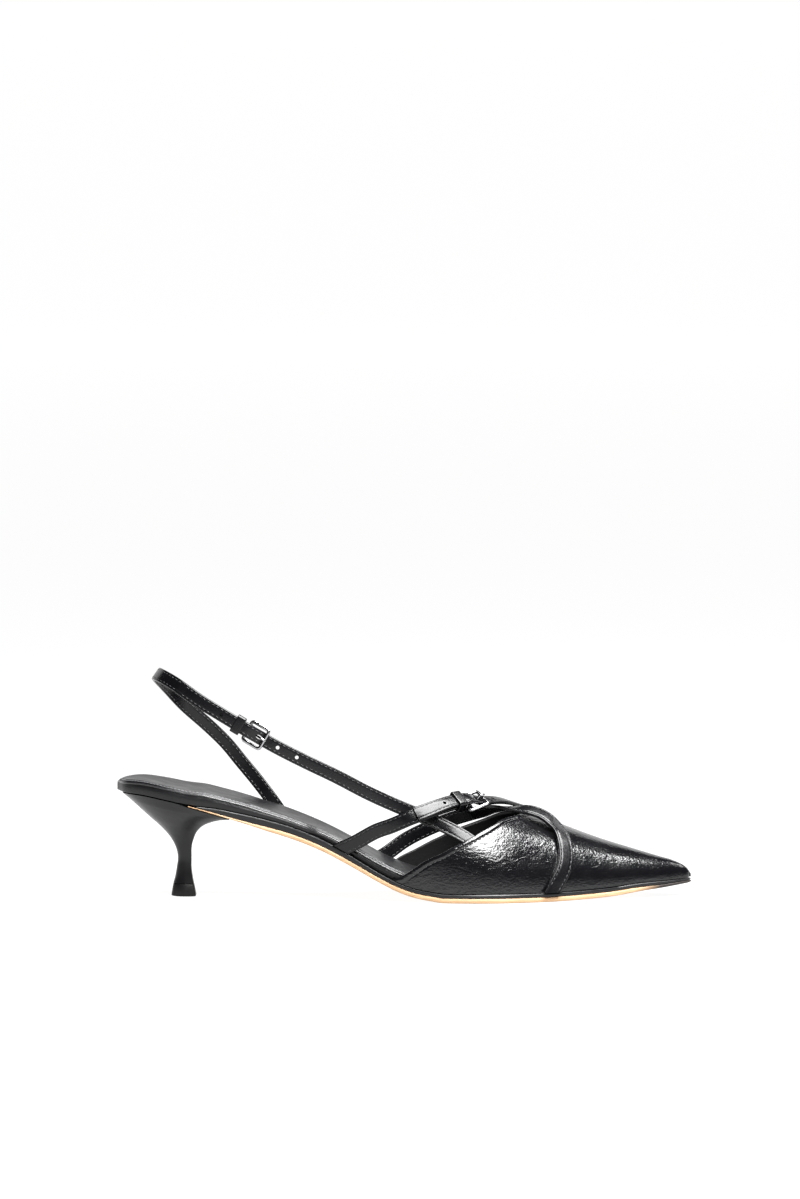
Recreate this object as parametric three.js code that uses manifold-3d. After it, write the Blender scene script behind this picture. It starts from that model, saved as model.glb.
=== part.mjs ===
// A right slingback pump with two instep straps that cross over an open throat.
// Millimetres: +X is toward the toe, +Y toward the big-toe side, +Z up, and the floor is z = 0.
// Lengths in the tables are shares: x of LENGTH from the back of the heel, y of BALL_WIDTH
// from the middle line (minus is the little-toe side), z of the height named beside each table.
import * as THREE from "three";
import { mergeVertices } from "three/addons/utils/BufferGeometryUtils.js";
import Module from "manifold-3d";

const wasm = await Module();
wasm.setup();

// Driving sizes
const LENGTH = 262;
const BALL_WIDTH = 74;
const SEAT_RISE = 48;
const THROAT_HEIGHT = 38.7;
const SLING_TOP = 104.6;
const SOLE_THICKNESS = 2.2;
const RAND_THICKNESS = 1.5;
const BAND_HEIGHT = 7.5;
const HEEL_TIP_HEIGHT = 5.8;
const WALL = 1.7;
const STRAP_THICKNESS = 1.6;
const INSTEP_WIDTH = 6.9;
const SLING_WIDTH = 6.3;
const RAND_SHOWN = 0.5;
const GAP = 0.3;

// Buckles, keepers and punched holes
const BUCKLE_LENGTH = 10.4;
const BUCKLE_MARGIN = 2.45;
const BAR_RADIUS = 0.8;
const PRONG_RADIUS = 0.5;
const KEEPER_LENGTH = 4.3;
const KEEPER_WALL = 0.8;
const KEEPER_SETBACK = 9.2;
const HOLE_DIAMETER = 1.7;
const HOLE_PITCH = 9.75;

// Height of the sole's upper face over its flat tread: [x, z of SEAT_RISE]
const SEAT = [
  [0.0, 0.958], [0.038, 0.948], [0.088, 0.902], [0.145, 0.827], [0.195, 0.75],
  [0.24, 0.683], [0.298, 0.594], [0.353, 0.477], [0.408, 0.323], [0.465, 0.154],
  [0.492, 0.088], [0.519, 0.042], [0.548, 0.015], [0.569, 0.0], [0.737, 0.0],
  [0.821, 0.015], [0.863, 0.031], [0.903, 0.056], [0.943, 0.073], [1.0, 0.1],
];
// Sole thickness: [x, share of SOLE_THICKNESS]
const SOLE_TAPER = [
  [0.125, 0.15], [0.195, 0.35], [0.229, 0.55], [0.271, 0.9], [0.31, 1.0], [0.86, 1.0],
  [0.93, 0.75], [1.0, 0.45],
];
// Rand thickness: [x, share of RAND_THICKNESS]
const RAND_TAPER = [
  [0.135, 0.15], [0.19, 1.5], [0.26, 1.95], [0.36, 1.8], [0.44, 1.3], [0.52, 1.0],
  [0.9, 1.0], [1.0, 0.45],
];
// Plan outline of the sole: [x, y]
const LATERAL_OUTLINE = [
  [0.0, 0.0], [0.015, -0.162], [0.042, -0.25], [0.08, -0.314], [0.13, -0.338],
  [0.195, -0.332], [0.252, -0.311], [0.317, -0.295], [0.385, -0.314], [0.454, -0.372],
  [0.519, -0.439], [0.576, -0.486], [0.63, -0.5], [0.676, -0.482], [0.729, -0.426],
  [0.786, -0.351], [0.844, -0.27], [0.901, -0.185], [0.947, -0.112], [0.981, -0.041],
  [0.996, 0.005], [1.0, 0.041],
];
const MEDIAL_OUTLINE = [
  [0.0, 0.0], [0.015, 0.162], [0.042, 0.25], [0.08, 0.311], [0.13, 0.335],
  [0.195, 0.324], [0.252, 0.284], [0.317, 0.235], [0.366, 0.222], [0.424, 0.241],
  [0.481, 0.297], [0.538, 0.376], [0.595, 0.446], [0.653, 0.495], [0.683, 0.5],
  [0.729, 0.486], [0.786, 0.43], [0.844, 0.351], [0.901, 0.257], [0.947, 0.176],
  [0.981, 0.114], [0.996, 0.073], [1.0, 0.041],
];
// Top of the footbed's edge over the seat: [x, share of BAND_HEIGHT]
const BAND = [
  [0.0, 0.8], [0.05, 0.92], [0.111, 0.93], [0.16, 1.11], [0.214, 1.16], [0.271, 1.05],
  [0.328, 0.99], [0.424, 1.05], [0.481, 1.05], [0.576, 0.85], [0.729, 0.75], [1.0, 0.64],
];
// Footbed edge set in from the sole's outline: [x, lateral, medial], shares of LASTING_INSET
const LASTING_INSET = WALL + RAND_SHOWN + GAP;
const FOOTBED_INSET = [
  [0.0, 0.12, 0.12], [0.2, 0.12, 0.12], [0.235, 0.12, 0.9], [0.324, 0.12, 0.9],
  [0.355, 0.9, 0.9], [0.46, 0.95, 0.95], [0.5, 1.4, 1.4], [1.0, 1.4, 1.4],
];
// Top line of the last, from the ankle down to the blunt toe: [x, z of THROAT_HEIGHT]
const RIDGE = [
  [0.462, 1.886], [0.576, 1.447], [0.653, 1.185], [0.713, 0.99], [0.777, 0.825],
  [0.84, 0.67], [0.903, 0.541], [0.943, 0.461], [0.966, 0.417], [0.985, 0.36],
  [0.994, 0.31], [1.0, 0.24],
];
// Where the ridge runs in plan: [x, y]
const RIDGE_PLAN = [[0.46, 0.03], [0.713, 0.068], [0.84, 0.055], [0.95, 0.043], [1.0, 0.041]];
// Edge of the vamp's opening: [x, share of the vamp's height at the throat]
const LATERAL_TOPLINE = [
  [0.479, 0.0], [0.49, 0.053], [0.504, 0.161], [0.521, 0.289], [0.537, 0.398],
  [0.562, 0.518], [0.6, 0.678], [0.645, 0.851], [0.676, 0.965], [0.713, 1.0],
];
const MEDIAL_TOPLINE = [
  [0.473, 0.0], [0.489, 0.175], [0.519, 0.365], [0.576, 0.637], [0.64, 0.83],
  [0.672, 0.933], [0.713, 1.0],
];
// Heel sections: [rear z, rear x, front z, front x, half width, share of the seat's outline];
// z of SEAT_RISE, half width of BALL_WIDTH
const HEEL_SECTIONS = [
  [0.181, 0.1, 0.181, 0.131, 0.064, 0],
  [0.271, 0.103, 0.271, 0.129, 0.055, 0],
  [0.36, 0.105, 0.36, 0.129, 0.051, 0],
  [0.438, 0.103, 0.438, 0.129, 0.057, 0],
  [0.506, 0.098, 0.49, 0.13, 0.07, 0],
  [0.583, 0.089, 0.565, 0.134, 0.103, 0],
  [0.667, 0.075, 0.63, 0.1395, 0.146, 0.05],
  [0.76, 0.056, 0.69, 0.15, 0.2, 0.25],
  [0.854, 0.038, 0.732, 0.165, 0.251, 0.55],
  [0.938, 0.022, 0.757, 0.18, 0.289, 0.85],
];
const HEEL_TOP = { rear: 0.009, front: 0.197 };
const HEEL_TIP_TOP = { rear: 0.097, front: 0.133, half: 0.071 };
const HEEL_TIP_BOTTOM = { rear: 0.0935, front: 0.137, half: 0.078 };

// Strap centre lines. A free row is [x, y, z, and the outward direction]: its z is of SLING_TOP
// in the sling and of THROAT_HEIGHT in the other two straps.
// The sling runs from the big-toe side of the waist round the heel to the other side.
const SLING_FOOT = [[0.3, -0.1], [0.268, 1.12]];
const SLING_ROWS = [
  [0.242, 0.303, 0.484, 0, 1, 0], [0.214, 0.335, 0.567, 0, 1, 0.05],
  [0.187, 0.354, 0.648, 0, 1, 0.1], [0.158, 0.357, 0.719, -0.1, 1, 0.1],
  [0.116, 0.305, 0.816, -0.45, 0.85, 0.25], [0.086, 0.176, 0.906, -0.75, 0.45, 0.48],
  [0.069, 0.0, 0.967, -0.81, 0, 0.58], [0.078, -0.169, 0.971, -0.7, -0.5, 0.5],
  [0.103, -0.291, 0.943, -0.45, -0.85, 0.3], [0.145, -0.365, 0.874, -0.15, -1, 0.15],
  [0.187, -0.396, 0.811, 0, -1, 0.08], [0.271, -0.411, 0.687, 0, -1, 0.05],
  [0.324, -0.408, 0.618, 0, -1, 0.05], [0.382, -0.396, 0.547, 0, -1, 0.08],
  [0.435, -0.374, 0.476, 0, -1, 0.1], [0.477, -0.352, 0.426, 0, -1, 0.15],
  [0.561, -0.345, 0.337, 0, -1, 0.3],
];
const SLING_TUCK = [[0.611, 0.36], [0.641, 0.29]];
const SLING_MARKS = { back: 0.069, tip: 0.112, buckle: 0.2425 };

// The instep strap runs from the little-toe side of the waist to the other side of the vamp.
const INSTEP_FOOT = [[0.372, -0.25], [0.387, 0.31], [0.416, 1.3]];
const INSTEP_ROWS = [
  [0.45, -0.361, 0.825, 0, -1, 0.05], [0.478, -0.396, 0.9, 0, -1, 0.15],
  [0.511, -0.412, 0.997, 0, -0.95, 0.3], [0.548, -0.372, 1.078, 0, -0.85, 0.5],
  [0.588, -0.267, 1.138, 0.05, -0.7, 0.7], [0.631, -0.153, 1.151, 0.1, -0.45, 0.88],
  [0.666, -0.03, 1.132, 0.2, -0.2, 0.95], [0.692, 0.1, 1.065, 0.3, 0, 0.95],
];
const INSTEP_LAID = [
  [0.718, 0.77, 0.3], [0.744, 0.62], [0.763, 0.47], [0.775, 0.33], [0.777, 0.2], [0.771, 0.09],
];
const INSTEP_MARKS = { tip: 0.519, buckle: 0.6195 };

// The cross strap runs from the other side of the waist, under the instep strap, to the vamp.
const CROSS_FOOT = [[0.438, -0.1], [0.468, 1.0]];
const CROSS_ROWS = [
  [0.503, 0.328, 0.6, 0, 1, 0.05], [0.544, 0.352, 0.735, 0.05, 0.97, 0.15],
  [0.584, 0.345, 0.843, 0.05, 0.95, 0.25], [0.613, 0.29, 0.908, 0.05, 0.9, 0.4],
  [0.634, 0.2, 0.955, 0.1, 0.8, 0.55], [0.652, 0.09, 1.01, 0.15, 0.5, 0.82],
  [0.672, -0.02, 1.04, 0.25, -0.05, 0.95], [0.694, -0.075, 1.036, 0.3, -0.35, 0.85],
  [0.716, -0.1, 1.03, 0.38, -0.5, 0.75], [0.738, -0.12, 0.985, 0.42, -0.55, 0.7],
  [0.754, -0.145, 0.915, 0.42, -0.55, 0.7],
];
const CROSS_LAID = [
  [0.767, 0.66, 0.6], [0.776, 0.49, 0.25], [0.778, 0.35], [0.775, 0.23], [0.769, 0.15],
  [0.761, 0.07],
];

const group = new THREE.Group();

const BLACK_LEATHER = new THREE.MeshStandardMaterial({ color: 0x1b1b1d, roughness: 0.35 });
const BLACK_LINING = new THREE.MeshStandardMaterial({ color: 0x202020, roughness: 0.6 });
const BLACK_HEEL = new THREE.MeshStandardMaterial({ color: 0x141415, roughness: 0.4 });
const TAN_LEATHER = new THREE.MeshStandardMaterial({ color: 0xd0a77b, roughness: 0.55 });
const BLACK_RUBBER = new THREE.MeshStandardMaterial({ color: 0x111111, roughness: 0.7 });
const SILVER = new THREE.MeshStandardMaterial({ color: 0xc9cacc, roughness: 0.2, metalness: 1 });

// Small helpers

const along = (share) => (share - 0.5) * LENGTH;
const mix = THREE.MathUtils.lerp;
const clamp = THREE.MathUtils.clamp;

// A smooth curve through rows of [position, value] that never overshoots its rows.
function smooth(rows) {
  const x = rows.map((row) => row[0]);
  const y = rows.map((row) => row[1]);
  const rise = x.slice(1).map((v, i) => (y[i + 1] - y[i]) / (v - x[i]));
  const slope = y.map((_, i) => {
    if (i === 0 || i === y.length - 1) return rise[Math.min(i, rise.length - 1)];
    const before = rise[i - 1];
    const after = rise[i];
    return before * after <= 0 ? 0 : (2 * before * after) / (before + after);
  });
  return (at) => {
    const v = clamp(at, x[0], x[x.length - 1]);
    let i = 0;
    while (i < x.length - 2 && v > x[i + 1]) i += 1;
    const step = x[i + 1] - x[i];
    const t = (v - x[i]) / step;
    const rest = 1 - t;
    return (
      y[i] * (1 + 2 * t) * rest * rest + y[i + 1] * t * t * (3 - 2 * t) +
      step * t * rest * (slope[i] * rest - slope[i + 1] * t)
    );
  };
}

// The same table with its x shares turned into millimetres and its values scaled.
function table(rows, scale, column = 1) {
  return smooth(rows.map((row) => [along(row[0]), row[column] * scale]));
}

// A planar curve through rows, moved sideways by an inset, as a function of x.
function insetCurve(points, inset) {
  const curve = new THREE.CatmullRomCurve3(
    points.map(([x, y]) => new THREE.Vector3(x, y, 0)), false, "centripetal",
  );
  const moved = curve.getPoints(240).map((point, i) => {
    const t = clamp(i / 240, 0.001, 0.999);
    const direction = curve.getTangent(t);
    return [point.x - direction.y * inset, point.y + direction.x * inset];
  });
  return (x) => {
    for (let i = 1; i < moved.length; i += 1) {
      const [x0, y0] = moved[i - 1];
      const [x1, y1] = moved[i];
      if (x1 > x0 && x >= x0 && x <= x1) return mix(y0, y1, (x - x0) / (x1 - x0));
    }
    return x < moved[0][0] ? moved[0][1] : moved[moved.length - 1][1];
  };
}

function outline(rows, inset) {
  return insetCurve(rows.map(([x, y]) => [along(x), y * BALL_WIDTH]), inset);
}

// A mesh geometry from points and faces, turned so that its faces point outward.
function solid(points, faces) {
  let volume = 0;
  for (const [a, b, c] of faces) {
    volume += points[a].dot(new THREE.Vector3().crossVectors(points[b], points[c]));
  }
  const turned = volume < 0 ? faces.map(([a, b, c]) => [a, c, b]) : faces;
  const geometry = new THREE.BufferGeometry();
  geometry.setAttribute(
    "position", new THREE.Float32BufferAttribute(points.flatMap((p) => [p.x, p.y, p.z]), 3),
  );
  geometry.setIndex(turned.flat());
  geometry.computeVertexNormals();
  return geometry;
}

// A closed body through rings of points. A ring's caps join each point to its opposite one:
// "paired" rings hold two equal rows, "pointed" rings begin with one point on the middle line.
function loft(rings, kind = "paired", closed = false) {
  const count = rings[0].length;
  const faces = [];
  const last = closed ? rings.length : rings.length - 1;
  for (let i = 0; i < last; i += 1) {
    const next = ((i + 1) % rings.length) * count;
    for (let j = 0; j < count; j += 1) {
      const k = (j + 1) % count;
      faces.push([i * count + j, i * count + k, next + k]);
      faces.push([i * count + j, next + k, next + j]);
    }
  }
  if (!closed) {
    const shift = kind === "paired" ? 1 : 0;
    for (const end of [0, rings.length - 1]) {
      const base = end * count;
      const caps = [];
      for (let j = 0; 2 * j + shift + 1 < count; j += 1) {
        const far = (count - shift - j) % count;
        const farNext = count - shift - j - 1;
        if (j !== far) caps.push([base + j, base + far, base + farNext]);
        if (j + 1 < farNext) caps.push([base + j, base + farNext, base + j + 1]);
      }
      faces.push(...(end === 0 ? caps : caps.map(([a, b, c]) => [a, c, b])));
    }
  }
  return solid(rings.flat(), faces);
}

function add(name, geometry, material) {
  const mesh = new THREE.Mesh(geometry, material);
  mesh.name = name;
  group.add(mesh);
}

function toManifold(geometry) {
  const bare = new THREE.BufferGeometry();
  bare.setAttribute("position", geometry.getAttribute("position"));
  if (geometry.index) bare.setIndex(geometry.index);
  const merged = mergeVertices(bare, 1e-4);
  return new wasm.Manifold(new wasm.Mesh({
    numProp: 3,
    vertProperties: new Float32Array(merged.attributes.position.array),
    triVerts: new Uint32Array(merged.index.array),
  }));
}

function cut(geometry, tools) {
  let body = toManifold(geometry);
  for (const tool of tools) body = body.subtract(toManifold(tool));
  const mesh = body.getMesh();
  const result = new THREE.BufferGeometry();
  result.setAttribute("position", new THREE.BufferAttribute(mesh.vertProperties, 3));
  result.setIndex(new THREE.BufferAttribute(mesh.triVerts, 1));
  result.computeVertexNormals();
  return result;
}

// The last and the layers of the sole

const seatRise = table(SEAT, SEAT_RISE);
const soleTaper = table(SOLE_TAPER, SOLE_THICKNESS);
const randTaper = table(RAND_TAPER, RAND_THICKNESS);
const bandRise = table(BAND, BAND_HEIGHT);
const ridge = insetCurve(RIDGE.map(([x, z]) => [along(x), z * THROAT_HEIGHT]), 0);
const ridgeInside = insetCurve(RIDGE.map(([x, z]) => [along(x), z * THROAT_HEIGHT]), -WALL);
const ridgePlan = table(RIDGE_PLAN, BALL_WIDTH);

const RAND_START = along(RAND_TAPER[0][0]);
const SOLE_START = along(SOLE_TAPER[0][0]);
const TOE = along(1);
const BACK = along(0);

const seatTop = (x) => SOLE_THICKNESS + seatRise(x);
const soleBottom = (x) => seatTop(x) - soleTaper(x);
const randTop = (x) => seatTop(x) + GAP + randTaper(x);
const feather = (x) => randTop(x) + GAP;
const bandTop = (x) => seatTop(x) + bandRise(x);

// The face under the footbed and the strap feet: the sole, then the rand that begins on it.
const RAMP_LENGTH = 5;
const RAMP_LEAD = 2;
const overRand = smooth([[RAND_START - RAMP_LEAD - RAMP_LENGTH, 0], [RAND_START - RAMP_LEAD, 1]]);
const underFootbed = (x) => mix(seatTop(x) + GAP, feather(x), overRand(x));

// Shared steps along the shoe, crowded toward the heel and the toe, with a plate's own ends.
function stations(from, to, count) {
  const shared = Array.from({ length: count + 1 }, (_, i) => {
    const turn = (Math.PI * i) / count;
    const even = BACK + (LENGTH * i) / count;
    return mix(even, BACK + (LENGTH * (1 - Math.cos(turn))) / 2, 0.75);
  });
  const margin = LENGTH / count / 8;
  return [from, ...shared.filter((x) => x > from + margin && x < to - margin), to];
}

// A plate between two heights whose rim follows the outline. Heights take x and the share
// of the half width; the rim's edges are eased by a small amount.
function plate(from, to, sides, bottom, top, ease, count = 34) {
  const narrowest = 0.9;
  const rings = stations(from, to, count).map((x) => {
    const middle = (sides.lateral(x) + sides.medial(x)) / 2;
    const half = Math.max((sides.medial(x) - sides.lateral(x)) / 2, narrowest);
    const edge = Math.min(ease, half / 3, (top(x, 1) - bottom(x, 1)) / 3);
    const at = (share, level, lift) =>
      new THREE.Vector3(x, middle + share * half, level(x, share) + lift);
    const inner = 1 - edge / half;
    return [
      at(-1, bottom, edge), at(-inner, bottom, 0), at(-0.5, bottom, 0),
      at(0.5, bottom, 0), at(inner, bottom, 0), at(1, bottom, edge),
      at(1, top, -edge), at(inner, top, 0), at(0.5, top, 0),
      at(-0.5, top, 0), at(-inner, top, 0), at(-1, top, -edge),
    ];
  });
  return loft(rings);
}

function makeOutsole() {
  const sides = { lateral: outline(LATERAL_OUTLINE, 0), medial: outline(MEDIAL_OUTLINE, 0) };
  add("outsole", plate(SOLE_START, TOE, sides, soleBottom, seatTop, 0.5), TAN_LEATHER);
}

function makeRand() {
  const inset = RAND_SHOWN / 3;
  const sides = {
    lateral: outline(LATERAL_OUTLINE, inset),
    medial: outline(MEDIAL_OUTLINE, -inset),
  };
  const bottom = (x) => seatTop(x) + GAP;
  add("rand", plate(RAND_START, TOE - inset, sides, bottom, randTop, 0.4), BLACK_LEATHER);
}

function makeInsole() {
  const lateralInset = table(FOOTBED_INSET, LASTING_INSET, 1);
  const medialInset = table(FOOTBED_INSET, LASTING_INSET, 2);
  const lateral = outline(LATERAL_OUTLINE, 0);
  const medial = outline(MEDIAL_OUTLINE, 0);
  const sides = {
    lateral: (x) => lateral(x) + lateralInset(x),
    medial: (x) => medial(x) - medialInset(x),
  };
  const start = BACK;
  const end = along(0.955);
  const archRaise = smooth([[along(0.2), 0], [along(0.33), 1.2], [along(0.5), 0]]);
  const hollow = smooth([[BACK, 0.2], [along(0.1), 1.4], [along(0.3), 0.8], [end, 0.3]]);
  const top = (x, share) =>
    bandTop(x) + archRaise(x) * Math.max(share, 0) ** 2 - hollow(x) * (1 - share * share);
  add("insole", plate(start, end, sides, underFootbed, top, 1.2), BLACK_LINING);
}

// Heel: rounded at the back, with a flat face toward the toe.

function heelRing(place, widths) {
  const steps = 8;
  const quarter = Math.PI / 2;
  const shares = Array.from({ length: steps + 1 }, (_, i) => 1 - Math.cos((quarter * i) / steps));
  const point = (share, side) => {
    const at = place(share);
    return new THREE.Vector3(at.x, widths(share, side), at.z);
  };
  const lateral = shares.slice(1).map((share) => point(share, -1));
  const medial = shares.slice(1).map((share) => point(share, 1));
  return [point(0, 0), ...lateral, ...medial.reverse()];
}

function roundBack(share) {
  const widest = 0.6;
  if (share < widest) return Math.sqrt(1 - (1 - share / widest) ** 2);
  return 1 - 0.13 * ((share - widest) / (1 - widest)) ** 2;
}

function makeHeel() {
  const lateral = outline(LATERAL_OUTLINE, RAND_SHOWN);
  const medial = outline(MEDIAL_OUTLINE, -RAND_SHOWN);
  const heelTop = (x) => {
    const overSole = smooth([[SOLE_START - RAMP_LENGTH, 0], [SOLE_START, 1]]);
    const sole = mix(0, soleTaper(x) + GAP, overSole(x));
    return seatTop(x) - sole - GAP;
  };
  const topX = (share) => along(mix(HEEL_TOP.rear, HEEL_TOP.front, share));
  const widestTop = medial(along(0.13));
  const rings = HEEL_SECTIONS.map(([rearZ, rearX, frontZ, frontX, half, follow]) => {
    const place = (share) => ({
      x: along(mix(rearX, frontX, share)),
      z: mix(rearZ, frontZ, share) * SEAT_RISE,
    });
    const widths = (share, side) => {
      if (side === 0) return 0;
      const seatShare = Math.abs((side < 0 ? lateral : medial)(topX(share))) / widestTop;
      return side * half * BALL_WIDTH * mix(roundBack(share), seatShare, follow);
    };
    return heelRing(place, widths);
  });
  const tipTop = (share) => ({
    x: along(mix(HEEL_TIP_TOP.rear, HEEL_TIP_TOP.front, share)),
    z: HEEL_TIP_HEIGHT + GAP,
  });
  rings.unshift(
    heelRing(tipTop, (share, side) => side * HEEL_TIP_TOP.half * BALL_WIDTH * roundBack(share)),
  );
  rings.push(
    heelRing(
      (share) => ({ x: topX(share), z: heelTop(topX(share)) }),
      (share, side) => (side === 0 ? 0 : (side < 0 ? lateral : medial)(topX(share))),
    ),
  );
  add("heel", loft(rings, "pointed"), BLACK_HEEL);
}

function makeHeelTip() {
  const ring = (end, z) =>
    heelRing(
      (share) => ({ x: along(mix(end.rear, end.front, share)), z }),
      (share, side) => side * end.half * BALL_WIDTH * roundBack(share),
    );
  const rings = [ring(HEEL_TIP_BOTTOM, 0), ring(HEEL_TIP_TOP, HEEL_TIP_HEIGHT)];
  add("heel_tip", loft(rings, "pointed"), BLACK_RUBBER);
}

// Vamp: a thin shell over the last's surface

const RIM_CLEARANCE = 0.12;

// A point on the last: x, and a turn from 0 (lateral edge) over PI / 2 (ridge) to PI (medial).
function lastSurface(inset) {
  const lateral = outline(LATERAL_OUTLINE, RAND_SHOWN + inset);
  const medial = outline(MEDIAL_OUTLINE, -RAND_SHOWN - inset);
  const crest = inset > 0 ? ridgeInside : ridge;
  return (x, turn) => {
    const middle = ridgePlan(x);
    const side = turn < Math.PI / 2 ? lateral(x) : medial(x);
    const fullness = turn < Math.PI / 2 ? 2.05 : 2.3;
    const out = Math.abs(Math.cos(turn)) ** (2 / fullness);
    const up = Math.abs(Math.sin(turn)) ** (2 / fullness);
    const base = feather(x) + RIM_CLEARANCE;
    return new THREE.Vector3(
      x, middle + (side - middle) * out, base + Math.max(crest(x) - base, 0.4) * up,
    );
  };
}

const vampOutside = lastSurface(0);
const vampInside = lastSurface(WALL);

// Where the opening's edge cuts the curve of one turn.
function toplineX(turn) {
  const rows = turn < Math.PI / 2 ? LATERAL_TOPLINE : MEDIAL_TOPLINE;
  const throat = along(rows[rows.length - 1][0]);
  const height = ridge(throat) - feather(throat);
  const edge = table(rows, height);
  let low = along(rows[0][0]);
  let high = throat;
  for (let i = 0; i < 40; i += 1) {
    const x = (low + high) / 2;
    const rise = vampOutside(x, turn).z - feather(x);
    if (rise > edge(x)) low = x;
    else high = x;
  }
  return (low + high) / 2;
}

function makeVamp() {
  const rows = 24;
  const columns = 34;
  const turns = Array.from({ length: columns + 1 }, (_, j) => (Math.PI * j) / columns);
  const starts = turns.map(toplineX);
  const skin = (surface, toe) =>
    Array.from({ length: rows + 1 }, (_, i) => {
      const share = 1 - (1 - i / rows) ** 1.8;
      return turns.map((turn, j) => surface(mix(starts[j], toe, share), turn));
    });
  const outer = skin(vampOutside, TOE - RAND_SHOWN - 0.05);
  const inner = skin(vampInside, TOE - RAND_SHOWN - WALL - 0.05);
  const width = columns + 1;
  const shift = (rows + 1) * width;
  const faces = [];
  const quad = (a, b, c, d) => faces.push([a, b, c], [a, c, d]);
  for (let i = 0; i < rows; i += 1) {
    for (let j = 0; j < columns; j += 1) {
      const a = i * width + j;
      quad(a, a + width, a + width + 1, a + 1);
      quad(shift + a, shift + a + 1, shift + a + width + 1, shift + a + width);
    }
    for (const [j, flip] of [[0, false], [columns, true]]) {
      const a = i * width + j;
      const b = a + width;
      if (flip) quad(a, b, shift + b, shift + a);
      else quad(a, shift + a, shift + b, b);
    }
  }
  for (let j = 0; j < columns; j += 1) quad(j, j + 1, shift + j + 1, shift + j);
  const end = rows * width;
  for (let j = 0; j < columns / 2; j += 1) {
    const k = columns - j;
    const strip = (base, flip) => {
      const face = (a, b, c) => {
        const corners = flip ? [a, c, b] : [a, b, c];
        faces.push(corners.map((corner) => base + corner));
      };
      face(j, k, k - 1);
      if (k - 1 > j + 1) face(j, k - 1, j + 1);
    };
    strip(end, false);
    strip(shift + end, true);
  }
  quad(end, shift + end, shift + end + columns, end + columns);
  add("vamp", solid([...outer.flat(), ...inner.flat()], faces), BLACK_LEATHER);
}

// Straps

const lateralEdge = outline(LATERAL_OUTLINE, 0);
const medialEdge = outline(MEDIAL_OUTLINE, 0);

// A strap's foot beside the footbed, a little proud of the sole: [x, share of the band's height].
const FOOT_PROUD = 0.3;

function footRow([share, rise], side) {
  const x = along(share);
  const edge = side < 0 ? lateralEdge(x) : medialEdge(x);
  const y = edge - side * (STRAP_THICKNESS / 2 - FOOT_PROUD);
  const p = new THREE.Vector3(x, y, seatTop(x) + rise * bandRise(x));
  return { p, n: new THREE.Vector3(0, side, 0) };
}

function freeRow([x, y, z, nx, ny, nz], height) {
  return {
    p: new THREE.Vector3(along(x), y * BALL_WIDTH, z * height),
    n: new THREE.Vector3(nx, ny, nz).normalize(),
  };
}

// A strap's place on the vamp, lifted off it or tucked behind it: [x, share of the turn from
// the vamp's lower edge to its ridge, extra lift as a share of STRAP_THICKNESS].
function laidRow([share, climb, extra = 0], side, lift) {
  const x = along(share);
  const quarter = (Math.PI / 2) * climb;
  const turn = side < 0 ? quarter : Math.PI - quarter;
  const alongX = vampOutside(x + 0.5, turn).sub(vampOutside(x - 0.5, turn));
  const aroundY = vampOutside(x, turn + 0.01).sub(vampOutside(x, turn - 0.01));
  const n = alongX.cross(aroundY).normalize();
  if (n.z < 0) n.negate();
  const p = vampOutside(x, turn).addScaledVector(n, lift + extra * STRAP_THICKNESS);
  return { p, n };
}

// A smooth line through strap rows that gives a place and its three directions at a length.
function strapLine(rows) {
  const places = new THREE.CatmullRomCurve3(rows.map((row) => row.p), false, "centripetal");
  const normals = new THREE.CatmullRomCurve3(rows.map((row) => row.n), false, "centripetal");
  places.arcLengthDivisions = 600;
  const length = places.getLength();
  const frame = (s) => {
    const u = clamp(s / length, 0, 1);
    const t = places.getUtoTmapping(u);
    const tangent = places.getTangent(clamp(t, 0.0005, 0.9995)).normalize();
    const n = normals.getPoint(t);
    n.addScaledVector(tangent, -n.dot(tangent)).normalize();
    const b = new THREE.Vector3().crossVectors(n, tangent);
    const p = places.getPoint(t).addScaledVector(tangent, s - u * length);
    return { p, t: tangent, n, b };
  };
  // The length at which the line reaches a given x, searched from a given length.
  const reach = (x, from) => {
    const start = Math.sign(frame(from).p.x - x);
    let s = from;
    while (s < length && Math.sign(frame(s).p.x - x) === start) s += 0.25;
    return s;
  };
  return { length, frame, reach };
}

const SECTION = [[-0.5, -0.5], [0.5, -0.5], [0.5, 0.1], [0.4, 0.5], [-0.4, 0.5], [-0.5, 0.1]];

// A strap through stations of { p, b, thin }: place, width direction, share of the thickness.
function ribbon(stationList, width) {
  const rings = stationList.map((station, i) => {
    const before = stationList[Math.max(i - 1, 0)].p;
    const after = stationList[Math.min(i + 1, stationList.length - 1)].p;
    const tangent = after.clone().sub(before).normalize();
    const n = new THREE.Vector3().crossVectors(tangent, station.b).normalize();
    const b = new THREE.Vector3().crossVectors(n, tangent).normalize();
    const thickness = STRAP_THICKNESS * (station.thin ?? 1);
    return SECTION.map(([across, out]) =>
      station.p.clone().addScaledVector(b, across * width).addScaledVector(n, out * thickness),
    );
  });
  return loft(rings);
}

function lineStations(line, from, to, lift, step = 4) {
  const count = Math.max(Math.ceil((to - from) / step), 1);
  return Array.from({ length: count + 1 }, (_, i) => {
    const frame = line.frame(mix(from, to, i / count));
    return { p: frame.p.clone().addScaledVector(frame.n, lift), b: frame.b };
  });
}

// A place in the flat frame of a buckle: a along the strap, n outward.
function nearStation(frame, a, n, thin = 1) {
  const p = frame.p.clone().addScaledVector(frame.t, a).addScaledVector(frame.n, n);
  return { p, b: frame.b, thin };
}

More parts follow.
